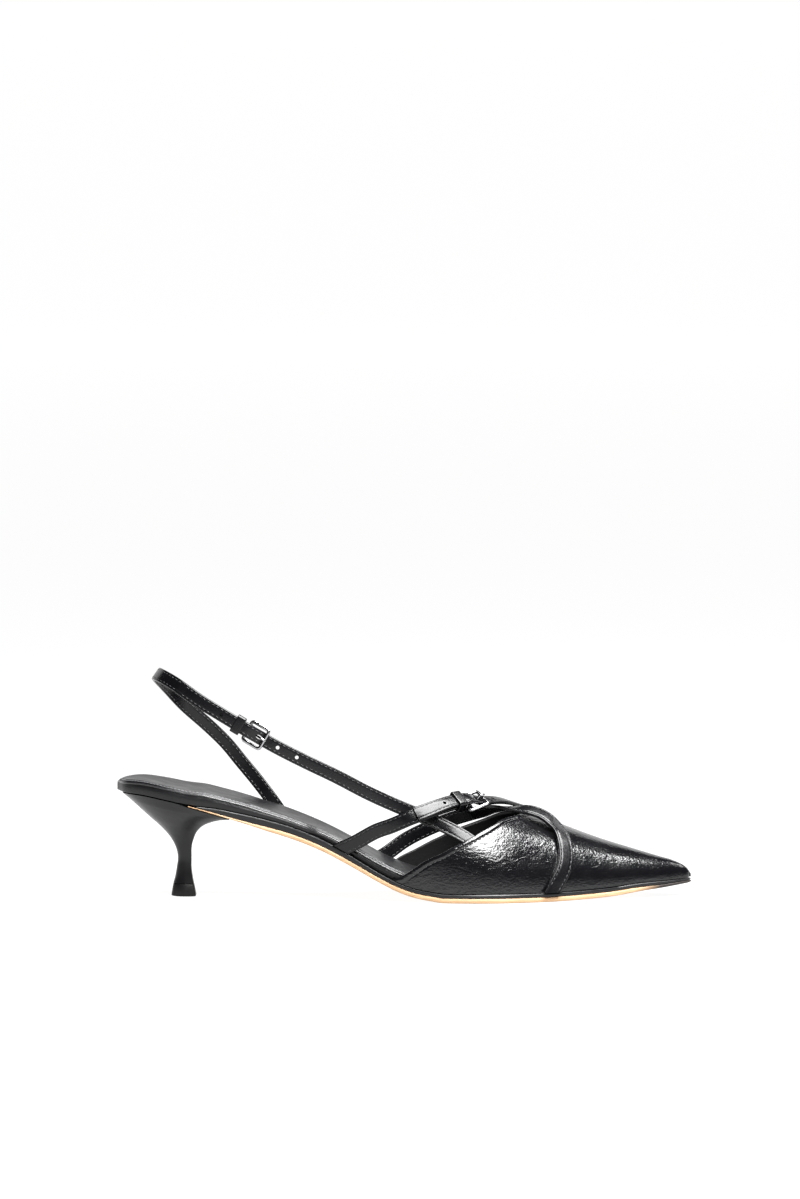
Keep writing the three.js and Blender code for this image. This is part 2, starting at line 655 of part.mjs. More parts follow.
const SKIVED = 0.62;
const STACK = STRAP_THICKNESS + GAP;
const BAR_REACH = BUCKLE_LENGTH / 2 - BAR_RADIUS;
const REAR_BAR_DROP = BAR_RADIUS + GAP + (STRAP_THICKNESS * SKIVED) / 2;
const BILLET_DIP = -0.2;
const FRONT_BAR_LIFT = BILLET_DIP + STRAP_THICKNESS / 2 + GAP + BAR_RADIUS;
const HOLE_PLACE = 1.6;

// The end of a strap that folds round the buckle's rear bar.
function chape(line, from, at) {
  const frame = line.frame(at);
  const turnRadius = REAR_BAR_DROP;
  const places = lineStations(line, from, at - BAR_REACH - 2.5, 0);
  places[places.length - 1].thin = 0.8;
  for (let i = 0; i <= 6; i += 1) {
    const turn = Math.PI / 2 - (Math.PI * i) / 6;
    places.push(nearStation(
      frame, -BAR_REACH + turnRadius * Math.cos(turn),
      -turnRadius + turnRadius * Math.sin(turn), SKIVED,
    ));
  }
  places.push(nearStation(frame, -BAR_REACH - 2, -2 * turnRadius + 0.35, SKIVED));
  return places;
}

// The free end that lies over the strap, dips under the front bar and goes on.
function billet(line, tip, at, to) {
  const frame = line.frame(at);
  const places = lineStations(line, tip, at - BAR_REACH - 2.5, STACK);
  places.push(nearStation(frame, -BAR_REACH, STACK));
  places.push(nearStation(frame, -BAR_REACH / 2, STACK * 0.82));
  places.push(nearStation(frame, 0, STACK * 0.45));
  places.push(nearStation(frame, BAR_REACH / 2, STACK * 0.1));
  places.push(nearStation(frame, BAR_REACH, BILLET_DIP));
  places.push(...lineStations(line, at + BAR_REACH + 4, to, 0));
  return places;
}

// A box in a buckle's frame, used as a cutting tool.
function toolBox(frame, centre, size) {
  const box = new THREE.BoxGeometry(...size);
  const basis = new THREE.Matrix4().makeBasis(frame.t, frame.b, frame.n);
  const p = frame.p.clone().addScaledVector(frame.t, centre[0])
    .addScaledVector(frame.b, centre[1]).addScaledVector(frame.n, centre[2]);
  return box.applyMatrix4(basis.setPosition(p));
}

function punch(frame, a, stretch = 1) {
  const hole = new THREE.CylinderGeometry(HOLE_DIAMETER / 2, HOLE_DIAMETER / 2, 8, 12);
  hole.rotateX(Math.PI / 2).scale(stretch, 1, 1);
  const basis = new THREE.Matrix4().makeBasis(frame.t, frame.b, frame.n);
  return hole.applyMatrix4(basis.setPosition(frame.p.clone().addScaledVector(frame.t, a)));
}

// Holes along a billet: the one that the prong fills, and plain ones before and after it.
function punchedHoles(line, at, first, last) {
  const tools = [punch(line.frame(at), HOLE_PLACE, 1.9)];
  for (let i = first; i <= last; i += 1) {
    if (i !== 0) tools.push(punch(line.frame(at + HOLE_PLACE + i * HOLE_PITCH), 0));
  }
  return tools;
}

function buckle(frame, width) {
  const halfAcross = width / 2 + BUCKLE_MARGIN - BAR_RADIUS;
  const corner = 1.1;
  const path = [];
  for (const [a, b, start] of [[1, 1, 0], [-1, 1, 1], [-1, -1, 2], [1, -1, 3]]) {
    for (let i = 0; i <= 2; i += 1) {
      const turn = (Math.PI / 2) * (start + i / 2);
      path.push([
        a * (BAR_REACH - corner) + corner * Math.cos(turn),
        b * (halfAcross - corner) + corner * Math.sin(turn),
      ]);
    }
  }
  const level = (a) => mix(-REAR_BAR_DROP, FRONT_BAR_LIFT, (a / BAR_REACH + 1) / 2);
  const places = path.map(([a, b]) => frame.p.clone().addScaledVector(frame.t, a)
    .addScaledVector(frame.b, b).addScaledVector(frame.n, level(a)));
  const upright = frame.n.clone().multiplyScalar(BAR_REACH * 2)
    .addScaledVector(frame.t, -(REAR_BAR_DROP + FRONT_BAR_LIFT)).normalize();
  return ringSweep(places, upright, 8, BAR_RADIUS);
}

// A round bar that follows a closed path lying in one plane.
function ringSweep(places, upright, sides, radius) {
  const rings = places.map((p, i) => {
    const before = places[(i + places.length - 1) % places.length];
    const after = places[(i + 1) % places.length];
    const tangent = after.clone().sub(before).normalize();
    const outward = new THREE.Vector3().crossVectors(tangent, upright).normalize();
    const lean = Math.max(after.clone().sub(p).normalize().dot(tangent), 0.7);
    return Array.from({ length: sides }, (_, k) => {
      const turn = (2 * Math.PI * (k + 0.5)) / sides;
      return p.clone().addScaledVector(outward, (radius * Math.cos(turn)) / lean)
        .addScaledVector(upright, radius * Math.sin(turn));
    });
  });
  return loft(rings, "paired", true);
}

function prong(frame) {
  const hook = BAR_RADIUS + GAP + PRONG_RADIUS;
  const path = [];
  for (let i = 0; i <= 5; i += 1) {
    const turn = THREE.MathUtils.degToRad(mix(270, 60, i / 5));
    path.push([-BAR_REACH + hook * Math.cos(turn), -REAR_BAR_DROP + hook * Math.sin(turn)]);
  }
  const over = FRONT_BAR_LIFT + BAR_RADIUS + GAP + PRONG_RADIUS;
  path.push([-0.4, -0.95], [1.0, 0.3], [1.9, 1.6], [2.7, over - 0.35], [BAR_REACH - 0.6, over]);
  path.push([BAR_REACH + 0.9, over - 0.1]);
  const rings = path.map(([a, n], i) => {
    const [a0, n0] = path[Math.max(i - 1, 0)];
    const [a1, n1] = path[Math.min(i + 1, path.length - 1)];
    const run = Math.hypot(a1 - a0, n1 - n0);
    const up = [-(n1 - n0) / run, (a1 - a0) / run];
    const radius = i === path.length - 1 ? PRONG_RADIUS * 0.6 : PRONG_RADIUS;
    return Array.from({ length: 8 }, (_, k) => {
      const turn = (2 * Math.PI * (k + 0.5)) / 8;
      const out = radius * Math.cos(turn);
      return frame.p.clone()
        .addScaledVector(frame.t, a + up[0] * out)
        .addScaledVector(frame.n, n + up[1] * out)
        .addScaledVector(frame.b, radius * Math.sin(turn));
    });
  });
  return loft(rings);
}

function keeper(frame, width) {
  const across = width / 2 + 0.4;
  const low = -STRAP_THICKNESS / 2 - 0.35;
  const high = STACK + STRAP_THICKNESS / 2 + 0.35;
  const loop = (out) => [
    [across + out, low - out], [across + out, high - 0.4], [across + out - 0.5, high + out],
    [-across - out + 0.5, high + out], [-across - out, high - 0.4], [-across - out, low - out],
  ];
  const place = (a, [b, n]) => frame.p.clone().addScaledVector(frame.t, a)
    .addScaledVector(frame.b, b).addScaledVector(frame.n, n);
  const inside = loop(0);
  const outside = loop(KEEPER_WALL);
  const rings = outside.map((_, i) => [
    place(-KEEPER_LENGTH / 2, inside[i]), place(KEEPER_LENGTH / 2, inside[i]),
    place(KEEPER_LENGTH / 2, outside[i]), place(-KEEPER_LENGTH / 2, outside[i]),
  ]);
  return loft(rings, "paired", true);
}

// Everything below the face that a strap's foot stands on.
function footTrim() {
  const wide = { lateral: () => -BALL_WIDTH, medial: () => BALL_WIDTH };
  const floor = () => -SEAT_RISE;
  return plate(along(0.2), along(0.9), wide, floor, (x) => underFootbed(x), 0.01, 60);
}

function slotted(line, from, at, width) {
  const frame = line.frame(at);
  const slot = toolBox(
    frame, [-BAR_REACH, 0, -REAR_BAR_DROP], [6.4, 2 * PRONG_RADIUS + 0.9, 4 * REAR_BAR_DROP],
  );
  return cut(ribbon(chape(line, from, at), width), [slot, footTrim()]);
}

function makeSling() {
  const tuck = -(WALL + GAP + STRAP_THICKNESS / 2 + 0.2);
  const line = strapLine([
    ...SLING_FOOT.map((row) => footRow(row, 1)),
    ...SLING_ROWS.map((row) => freeRow(row, SLING_TOP)),
    ...SLING_TUCK.map((row) => laidRow(row, -1, tuck)),
  ]);
  const back = line.reach(along(SLING_MARKS.back) + 0.5, line.length * 0.3);
  const tip = line.reach(along(SLING_MARKS.tip), back + 2 * SLING_WIDTH);
  const at = line.reach(along(SLING_MARKS.buckle), tip);
  add("sling_strap", slotted(line, 0, at, SLING_WIDTH), BLACK_LEATHER);
  const strip = ribbon(billet(line, tip, at, line.length), SLING_WIDTH);
  add("sling_billet", cut(strip, punchedHoles(line, at, -2, 2)), BLACK_LEATHER);
  add("sling_buckle", buckle(line.frame(at), SLING_WIDTH), SILVER);
  add("sling_prong", prong(line.frame(at)), SILVER);
  add("sling_keeper", keeper(line.frame(at - KEEPER_SETBACK), SLING_WIDTH), BLACK_LEATHER);
}

// A strap laid on the vamp runs on past its edge and is trimmed at the rand.
const FOOT_RUN = 6;
const LAID_LIFT = GAP + STRAP_THICKNESS / 2 + 0.15;

function makeInstepStrap() {
  const line = strapLine([
    ...INSTEP_FOOT.map((row) => footRow(row, -1)),
    ...INSTEP_ROWS.map((row) => freeRow(row, THROAT_HEIGHT)),
    ...INSTEP_LAID.map((row) => laidRow(row, 1, LAID_LIFT)),
  ]);
  const tip = line.reach(along(INSTEP_MARKS.tip), 0);
  const at = line.reach(along(INSTEP_MARKS.buckle), tip);
  add("instep_strap", slotted(line, 0, at, INSTEP_WIDTH), BLACK_LEATHER);
  const strip = ribbon(billet(line, tip, at, line.length + FOOT_RUN), INSTEP_WIDTH);
  add("instep_billet", cut(strip, [...punchedHoles(line, at, -2, 1), footTrim()]), BLACK_LEATHER);
  add("instep_buckle", buckle(line.frame(at), INSTEP_WIDTH), SILVER);
  add("instep_prong", prong(line.frame(at)), SILVER);
  add("instep_keeper", keeper(line.frame(at - KEEPER_SETBACK), INSTEP_WIDTH), BLACK_LEATHER);
}

function makeCrossStrap() {
  const line = strapLine([
    ...CROSS_FOOT.map((row) => footRow(row, 1)),
    ...CROSS_ROWS.map((row) => freeRow(row, THROAT_HEIGHT)),
    ...CROSS_LAID.map((row) => laidRow(row, -1, LAID_LIFT)),
  ]);
  const strip = ribbon(lineStations(line, 0, line.length + FOOT_RUN, 0, 3.5), INSTEP_WIDTH);
  add("cross_strap", cut(strip, [footTrim()]), BLACK_LEATHER);
}

makeOutsole();
makeRand();
makeInsole();
makeHeel();
makeHeelTip();
makeVamp();
makeSling();
makeInstepStrap();
makeCrossStrap();

export default group;
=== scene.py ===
import math

import bpy
import numpy as np
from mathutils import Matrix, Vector


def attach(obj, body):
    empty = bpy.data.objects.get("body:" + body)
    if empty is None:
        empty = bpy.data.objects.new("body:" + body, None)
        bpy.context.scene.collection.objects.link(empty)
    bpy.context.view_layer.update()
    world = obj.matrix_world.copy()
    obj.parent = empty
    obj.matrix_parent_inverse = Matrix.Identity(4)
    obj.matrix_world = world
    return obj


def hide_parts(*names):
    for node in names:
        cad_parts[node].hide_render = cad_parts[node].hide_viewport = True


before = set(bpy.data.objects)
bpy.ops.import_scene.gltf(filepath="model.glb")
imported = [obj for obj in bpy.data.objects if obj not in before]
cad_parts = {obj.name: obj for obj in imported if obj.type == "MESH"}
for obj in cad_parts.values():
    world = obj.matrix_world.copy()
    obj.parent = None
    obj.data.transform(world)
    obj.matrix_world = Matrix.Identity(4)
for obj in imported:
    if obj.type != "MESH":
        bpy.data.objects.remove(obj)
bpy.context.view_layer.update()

MM = 0.001
BODY = "root"

# Driving sizes, as in the frame
LENGTH = 262
BALL_WIDTH = 74
SEAT_RISE = 48
THROAT_HEIGHT = 38.7
SLING_TOP = 104.6
SOLE_THICKNESS = 2.2
RAND_THICKNESS = 1.5
BAND_HEIGHT = 7.5
HEEL_TIP_HEIGHT = 5.8
WALL = 1.7
STRAP_THICKNESS = 1.6
INSTEP_WIDTH = 6.9
SLING_WIDTH = 6.3
RAND_SHOWN = 0.5
GAP = 0.3
BUCKLE_LENGTH = 10.4
BUCKLE_MARGIN = 2.45
BUCKLE_CORNER = 1.1
BAR_RADIUS = 0.8
PRONG_RADIUS = 0.5
SLOT_LENGTH = 6.4
SLOT_PLAY = 0.9
KEEPER_LENGTH = 4.3
KEEPER_WALL = 0.8
KEEPER_CORNER = 0.95
KEEPER_SETBACK = 9.2
KEEPER_PLAY_ACROSS = 0.4
KEEPER_PLAY_UP = 0.35
HOLE_DIAMETER = 1.7
HOLE_PITCH = 9.75
HOLE_PLACE = 1.6

# Surface detail
STITCH_PITCH = 2.35
STITCH_LENGTH = 1.7
THREAD_RADIUS = 0.24
STRAP_STITCH_INSET = 1.15
TOPLINE_STITCH_INSET = 2.3
SOLE_ROLL = 0.7
RAND_ROLL = 0.6
STRAP_ROLL = 0.55
BOTTOM_ROLL = 0.5
FOOTBED_ROLL = 2.4
FOOTBED_BULGE = 0.35
FOOTBED_GROOVE = 0.45
FOOTBED_STITCH_INSET = 0.95
FOOTBED_STITCH_PITCH = 1.7
FOOTBED_BORDER = 1.7
BEAD_INSET = 0.12
BEAD_RADIUS = 0.4

SEAT = [
    (0.0, 0.958), (0.038, 0.948), (0.088, 0.902), (0.145, 0.827), (0.195, 0.75),
    (0.24, 0.683), (0.298, 0.594), (0.353, 0.477), (0.408, 0.323), (0.465, 0.154),
    (0.492, 0.088), (0.519, 0.042), (0.548, 0.015), (0.569, 0.0), (0.737, 0.0),
    (0.821, 0.015), (0.863, 0.031), (0.903, 0.056), (0.943, 0.073), (1.0, 0.1),
]
SOLE_TAPER = [
    (0.125, 0.15), (0.195, 0.35), (0.229, 0.55), (0.271, 0.9), (0.31, 1.0), (0.86, 1.0),
    (0.93, 0.75), (1.0, 0.45),
]
RAND_TAPER = [
    (0.135, 0.15), (0.19, 1.5), (0.26, 1.95), (0.36, 1.8), (0.44, 1.3), (0.52, 1.0),
    (0.9, 1.0), (1.0, 0.45),
]
LATERAL_OUTLINE = [
    (0.0, 0.0), (0.015, -0.162), (0.042, -0.25), (0.08, -0.314), (0.13, -0.338),
    (0.195, -0.332), (0.252, -0.311), (0.317, -0.295), (0.385, -0.314), (0.454, -0.372),
    (0.519, -0.439), (0.576, -0.486), (0.63, -0.5), (0.676, -0.482), (0.729, -0.426),
    (0.786, -0.351), (0.844, -0.27), (0.901, -0.185), (0.947, -0.112), (0.981, -0.041),
    (0.996, 0.005), (1.0, 0.041),
]
MEDIAL_OUTLINE = [
    (0.0, 0.0), (0.015, 0.162), (0.042, 0.25), (0.08, 0.311), (0.13, 0.335),
    (0.195, 0.324), (0.252, 0.284), (0.317, 0.235), (0.366, 0.222), (0.424, 0.241),
    (0.481, 0.297), (0.538, 0.376), (0.595, 0.446), (0.653, 0.495), (0.683, 0.5),
    (0.729, 0.486), (0.786, 0.43), (0.844, 0.351), (0.901, 0.257), (0.947, 0.176),
    (0.981, 0.114), (0.996, 0.073), (1.0, 0.041),
]
BAND = [
    (0.0, 0.8), (0.05, 0.92), (0.111, 0.93), (0.16, 1.11), (0.214, 1.16), (0.271, 1.05),
    (0.328, 0.99), (0.424, 1.05), (0.481, 1.05), (0.576, 0.85), (0.729, 0.75), (1.0, 0.64),
]
LASTING_INSET = WALL + RAND_SHOWN + GAP
FOOTBED_INSET = [
    (0.0, 0.12, 0.12), (0.2, 0.12, 0.12), (0.235, 0.12, 0.9), (0.324, 0.12, 0.9),
    (0.355, 0.9, 0.9), (0.46, 0.95, 0.95), (0.5, 1.4, 1.4), (1.0, 1.4, 1.4),
]
RIDGE = [
    (0.462, 1.886), (0.576, 1.447), (0.653, 1.185), (0.713, 0.99), (0.777, 0.825),
    (0.84, 0.67), (0.903, 0.541), (0.943, 0.461), (0.966, 0.417), (0.985, 0.36),
    (0.994, 0.31), (1.0, 0.24),
]
RIDGE_PLAN = [(0.46, 0.03), (0.713, 0.068), (0.84, 0.055), (0.95, 0.043), (1.0, 0.041)]
LATERAL_TOPLINE = [
    (0.479, 0.0), (0.49, 0.053), (0.504, 0.161), (0.521, 0.289), (0.537, 0.398),
    (0.562, 0.518), (0.6, 0.678), (0.645, 0.851), (0.676, 0.965), (0.713, 1.0),
]
MEDIAL_TOPLINE = [
    (0.473, 0.0), (0.489, 0.175), (0.519, 0.365), (0.576, 0.637), (0.64, 0.83),
    (0.672, 0.933), (0.713, 1.0),
]
# Heel sections: rear z, rear x, front z, front x, half width, share of the seat's outline
HEEL_SECTIONS = [
    (0.181, 0.1, 0.181, 0.131, 0.064, 0), (0.271, 0.103, 0.271, 0.129, 0.055, 0),
    (0.36, 0.105, 0.36, 0.129, 0.051, 0), (0.438, 0.103, 0.438, 0.129, 0.057, 0),
    (0.506, 0.098, 0.49, 0.13, 0.07, 0), (0.583, 0.089, 0.565, 0.134, 0.103, 0),
    (0.667, 0.075, 0.63, 0.1395, 0.146, 0.05), (0.76, 0.056, 0.69, 0.15, 0.2, 0.25),
    (0.854, 0.038, 0.732, 0.165, 0.251, 0.55), (0.938, 0.022, 0.757, 0.18, 0.289, 0.85),
]
HEEL_TOP = (0.009, 0.197)
HEEL_TIP_TOP = (0.097, 0.133, 0.071)
HEEL_TIP_BOTTOM = (0.0935, 0.137, 0.078)

# Strap centre lines: x, y, z and the outward direction. The sling's z is of SLING_TOP, the
# z of the other two straps is of THROAT_HEIGHT.
SLING_FOOT = [(0.3, -0.1), (0.268, 1.12)]
SLING_ROWS = [
    (0.242, 0.303, 0.484, 0, 1, 0), (0.214, 0.335, 0.567, 0, 1, 0.05),
    (0.187, 0.354, 0.648, 0, 1, 0.1), (0.158, 0.357, 0.719, -0.1, 1, 0.1),
    (0.116, 0.305, 0.816, -0.45, 0.85, 0.25), (0.086, 0.176, 0.906, -0.75, 0.45, 0.48),
    (0.069, 0.0, 0.967, -0.81, 0, 0.58), (0.078, -0.169, 0.971, -0.7, -0.5, 0.5),
    (0.103, -0.291, 0.943, -0.45, -0.85, 0.3), (0.145, -0.365, 0.874, -0.15, -1, 0.15),
    (0.187, -0.396, 0.811, 0, -1, 0.08), (0.271, -0.411, 0.687, 0, -1, 0.05),
    (0.324, -0.408, 0.618, 0, -1, 0.05), (0.382, -0.396, 0.547, 0, -1, 0.08),
    (0.435, -0.374, 0.476, 0, -1, 0.1), (0.477, -0.352, 0.426, 0, -1, 0.15),
    (0.561, -0.345, 0.337, 0, -1, 0.3),
]
SLING_TUCK = [(0.611, 0.36), (0.641, 0.29)]
SLING_MARKS = {"back": 0.069, "tip": 0.112, "buckle": 0.2425}
INSTEP_FOOT = [(0.372, -0.25), (0.387, 0.31), (0.416, 1.3)]
INSTEP_ROWS = [
    (0.45, -0.361, 0.825, 0, -1, 0.05), (0.478, -0.396, 0.9, 0, -1, 0.15),
    (0.511, -0.412, 0.997, 0, -0.95, 0.3), (0.548, -0.372, 1.078, 0, -0.85, 0.5),
    (0.588, -0.267, 1.138, 0.05, -0.7, 0.7), (0.631, -0.153, 1.151, 0.1, -0.45, 0.88),
    (0.666, -0.03, 1.132, 0.2, -0.2, 0.95), (0.692, 0.1, 1.065, 0.3, 0, 0.95),
]
# A strap's place on the vamp: x, share of the turn up to the ridge, extra lift
INSTEP_LAID = [
    (0.718, 0.77, 0.3), (0.744, 0.62, 0), (0.763, 0.47, 0), (0.775, 0.33, 0), (0.777, 0.2, 0),
    (0.771, 0.09, 0),
]
INSTEP_MARKS = {"tip": 0.519, "buckle": 0.6195}
CROSS_FOOT = [(0.438, -0.1), (0.468, 1.0)]
CROSS_ROWS = [
    (0.503, 0.328, 0.6, 0, 1, 0.05), (0.544, 0.352, 0.735, 0.05, 0.97, 0.15),
    (0.584, 0.345, 0.843, 0.05, 0.95, 0.25), (0.613, 0.29, 0.908, 0.05, 0.9, 0.4),
    (0.634, 0.2, 0.955, 0.1, 0.8, 0.55), (0.652, 0.09, 1.01, 0.15, 0.5, 0.82),
    (0.672, -0.02, 1.04, 0.25, -0.05, 0.95), (0.694, -0.075, 1.036, 0.3, -0.35, 0.85),
    (0.716, -0.1, 1.03, 0.38, -0.5, 0.75), (0.738, -0.12, 0.985, 0.42, -0.55, 0.7),
    (0.754, -0.145, 0.915, 0.42, -0.55, 0.7),
]
CROSS_LAID = [
    (0.767, 0.66, 0.6), (0.776, 0.49, 0.25), (0.778, 0.35, 0), (0.775, 0.23, 0), (0.769, 0.15, 0),
    (0.761, 0.07, 0),
]


# Camera and studio

VIEW_ELEVATION = math.radians(4.1)
VIEW_DISTANCE = 4.0
FRAME_HEIGHT = 0.5464
SENSOR = 36
VIEW_TARGET = Vector((-0.00205, 0, 0.1355))


def make_camera():
    data = bpy.data.cameras.new("camera")
    data.sensor_width = SENSOR
    data.lens = SENSOR * VIEW_DISTANCE / FRAME_HEIGHT
    camera = bpy.data.objects.new("camera", data)
    bpy.context.scene.collection.objects.link(camera)
    back = Vector((0, -math.cos(VIEW_ELEVATION), math.sin(VIEW_ELEVATION)))
    camera.location = VIEW_TARGET + back * VIEW_DISTANCE
    camera.rotation_euler = (-back).to_track_quat("-Z", "Y").to_euler()
    bpy.context.scene.camera = camera


def make_softbox(name, place, target, size, power):
    data = bpy.data.lights.new(name, "AREA")
    data.shape = "RECTANGLE"
    data.size, data.size_y = size
    data.energy = power
    light = bpy.data.objects.new(name, data)
    light.location = place
    light.rotation_euler = (Vector(target) - Vector(place)).to_track_quat("-Z", "Y").to_euler()
    bpy.context.scene.collection.objects.link(light)


def make_lights():
    make_softbox("key", (0.27, -0.39, 0.87), (0.27, -0.39, 0), (0.48, 1.15), 50)
    make_softbox("toe_sheen", (0.75, 0.5, 0.8), (0.1, 0, 0.03), (0.3, 0.3), 1.5)


# Brightness of the studio by height of the direction, from straight down to straight up
SKY = [(0.0, 0.5), (0.5, 0.75), (0.56, 0.6), (0.62, 0.03), (0.9, 0.01), (0.97, 0.15), (1.0, 0.2)]


def make_world():
    world = bpy.data.worlds.new("studio")
    bpy.context.scene.world = world
    world.use_nodes = True
    tree = world.node_tree
    place = tree.nodes.new("ShaderNodeTexCoord")
    split = tree.nodes.new("ShaderNodeSeparateXYZ")
    share = tree.nodes.new("ShaderNodeMapRange")
    share.inputs["From Min"].default_value = -1
    ramp = tree.nodes.new("ShaderNodeValToRGB")
    elements = ramp.color_ramp.elements
    while len(elements) < len(SKY):
        elements.new(0.5)
    for element, (position, level) in zip(elements, SKY):
        element.position = position
        element.color = (level, level, level, 1)
    tree.links.new(place.outputs["Generated"], split.inputs[0])
    tree.links.new(split.outputs["Z"], share.inputs["Value"])
    tree.links.new(share.outputs["Result"], ramp.inputs["Fac"])
    tree.links.new(ramp.outputs["Color"], tree.nodes["Background"].inputs["Color"])
    tree.nodes["Background"].inputs["Strength"].default_value = 1.0
    bpy.context.scene.view_settings.view_transform = "Standard"


# Materials

BLACK = (0.003, 0.003, 0.0038, 1)


class Finish:
    """A material in the making: its nodes, its main shader and the place on the object."""

    def __init__(self, name, colour, roughness, **sockets):
        self.material = bpy.data.materials.new(name)
        self.material.use_nodes = True
        self.tree = self.material.node_tree
        self.shader = self.tree.nodes["Principled BSDF"]
        self.place = self.node("ShaderNodeTexCoord").outputs["Object"]
        self.set("Base Color", colour)
        self.set("Roughness", roughness)
        for key, value in sockets.items():
            self.set(key.replace("_", " "), value)

    def set(self, key, value, node=None):
        socket = (node or self.shader).inputs[key]
        if isinstance(value, bpy.types.NodeSocket):
            self.tree.links.new(value, socket)
        else:
            socket.default_value = value

    def node(self, kind, inputs=(), **settings):
        made = self.tree.nodes.new(kind)
        for key, value in settings.items():
            setattr(made, key, value)
        for key, value in dict(inputs).items():
            self.set(key, value, made)
        return made

    def stretched(self, scale, turn=(0, 0, 0)):
        inputs = {"Vector": self.place, "Scale": scale, "Rotation": turn}
        return self.node("ShaderNodeMapping", inputs).outputs[0]

    def noise(self, size, detail=2.0, distortion=0.0, vector=None):
        inputs = {
            "Vector": vector or self.place, "Scale": 1 / (size * MM), "Detail": detail,
            "Distortion": distortion,
        }
        return self.node("ShaderNodeTexNoise", inputs).outputs["Fac"]

    def cells(self, size):
        inputs = {"Vector": self.place, "Scale": 1 / (size * MM)}
        return self.node("ShaderNodeTexVoronoi", inputs).outputs["Distance"]

    def spread(self, value, low, high, from_low=0.3, from_high=0.7):
        inputs = {
            "Value": value, "From Min": from_low, "From Max": from_high,
            "To Min": low, "To Max": high,
        }
        return self.node("ShaderNodeMapRange", inputs).outputs["Result"]

    def blend(self, share, one, other):
        inputs = {0: share, 6: one, 7: other}
        return self.node("ShaderNodeMix", inputs, data_type="RGBA").outputs[2]

    def raise_by(self, height, depth, strength=1.0):
        """Adds relief of a depth in millimetres over the relief that is there."""
        inputs = {"Height": height, "Distance": depth * MM, "Strength": strength}
        bump = self.node("ShaderNodeBump", inputs)
        normal = self.shader.inputs["Normal"]
        if normal.is_linked:
            self.tree.links.new(normal.links[0].from_socket, bump.inputs["Normal"])
        self.tree.links.new(bump.outputs[0], normal)

    def vary_roughness(self, size, low, high, detail=2.0):
        self.set("Roughness", self.spread(self.noise(size, detail), low, high))


def crinkle_leather():
    finish = Finish("crinkle_leather", BLACK, 0.2, Specular_IOR_Level=0.6)
    lines = finish.stretched((1, 1, 2.4), (0, math.radians(35), 0))
    creases = finish.noise(4.2, detail=3, distortion=1.2, vector=lines)
    finish.raise_by(creases, 0.15)
    finish.raise_by(finish.cells(1.0), 0.042)
    finish.vary_roughness(9, 0.13, 0.2)
    return finish.material


def strap_leather():
    finish = Finish("strap_leather", BLACK, 0.3, Specular_IOR_Level=0.35)
    finish.raise_by(finish.cells(0.9), 0.02)
    finish.raise_by(finish.noise(2.2, detail=3), 0.05)
    finish.vary_roughness(6, 0.2, 0.28)
    return finish.material


def footbed_leather():
    finish = Finish("footbed_leather", BLACK, 0.34, Specular_IOR_Level=0.42)
    finish.raise_by(finish.cells(0.8), 0.05)
    finish.raise_by(finish.noise(1.8, detail=3), 0.08)
    finish.vary_roughness(7, 0.34, 0.44)
    return finish.material


def piping_leather():
    finish = Finish("piping_leather", (0.02, 0.02, 0.022, 1), 0.25, Specular_IOR_Level=0.8)
    finish.raise_by(finish.noise(1.5), 0.02)
    return finish.material


def welt_leather():
    finish = Finish("welt_leather", BLACK, 0.33)
    finish.raise_by(finish.noise(0.7, detail=3), 0.05)
    finish.vary_roughness(4, 0.3, 0.42)
    return finish.material


def lining_leather():
    finish = Finish("lining_leather", (0.005, 0.005, 0.005, 1), 0.55, Specular_IOR_Level=0.3)
    finish.raise_by(finish.cells(0.7), 0.05)
    return finish.material


def heel_lacquer():
    finish = Finish("heel_lacquer", (0.0035, 0.0035, 0.0045, 1), 0.3, Specular_IOR_Level=0.4)
    finish.raise_by(finish.noise(2.5), 0.04)
    finish.vary_roughness(8, 0.28, 0.36)
    return finish.material


def tan_leather():
    """Cut leather: fibres along the edge, darker by the toe, where the edge is inked black."""
    finish = Finish("tan_leather", (0.6, 0.37, 0.19, 1), 0.5)
    fibres = finish.noise(1.2, detail=4, vector=finish.stretched((0.12, 0.12, 1.6)))
    tan = finish.blend(fibres, (0.45, 0.25, 0.12, 1), (0.72, 0.48, 0.28, 1))
    split = finish.node("ShaderNodeSeparateXYZ", {0: finish.place})
    inked = finish.spread(split.outputs["X"], 0, 1, along(0.9) * MM, along(0.945) * MM)
    finish.set("Base Color", finish.blend(inked, tan, (0.02, 0.015, 0.012, 1)))
    finish.raise_by(fibres, 0.12)
    return finish.material


def tip_rubber():
    finish = Finish("tip_rubber", (0.004, 0.004, 0.004, 1), 0.5, Specular_IOR_Level=0.3)
    finish.raise_by(finish.noise(0.5, detail=3), 0.05)
    finish.vary_roughness(2, 0.45, 0.6)
    return finish.material


def silver_metal():
    finish = Finish("silver_metal", (0.42, 0.42, 0.43, 1), 0.12, Metallic=1.0)
    finish.vary_roughness(3, 0.1, 0.2, detail=4)
    finish.raise_by(finish.noise(0.4), 0.004)
    return finish.material


def waxed_thread(name, shade):
    finish = Finish(name, (shade, shade, shade * 1.05, 1), 0.5)
    finish.raise_by(finish.noise(0.15), 0.03)
    return finish.material


def white_paper():
    finish = Finish("white_paper", (0.12, 0.12, 0.12, 1), 0.8, Specular_IOR_Level=0.0)
    finish.set("Emission Color", (1, 1, 1, 1))
    finish.set("Emission Strength", 0.95)
    finish.vary_roughness(300, 0.75, 0.85)
    return finish.material


# Curves

def along(share):
    return (share - 0.5) * LENGTH


def mix(a, b, share):
    return a + (b - a) * share


def unit(v):
    return v / np.maximum(np.linalg.norm(v, axis=-1, keepdims=True), 1e-9)


def dot(a, b):
    return np.sum(a * b, axis=-1, keepdims=True)


def run_along(places):
    """The length walked up to each place."""
    return np.concatenate([[0], np.cumsum(np.linalg.norm(np.diff(places, axis=0), axis=1))])


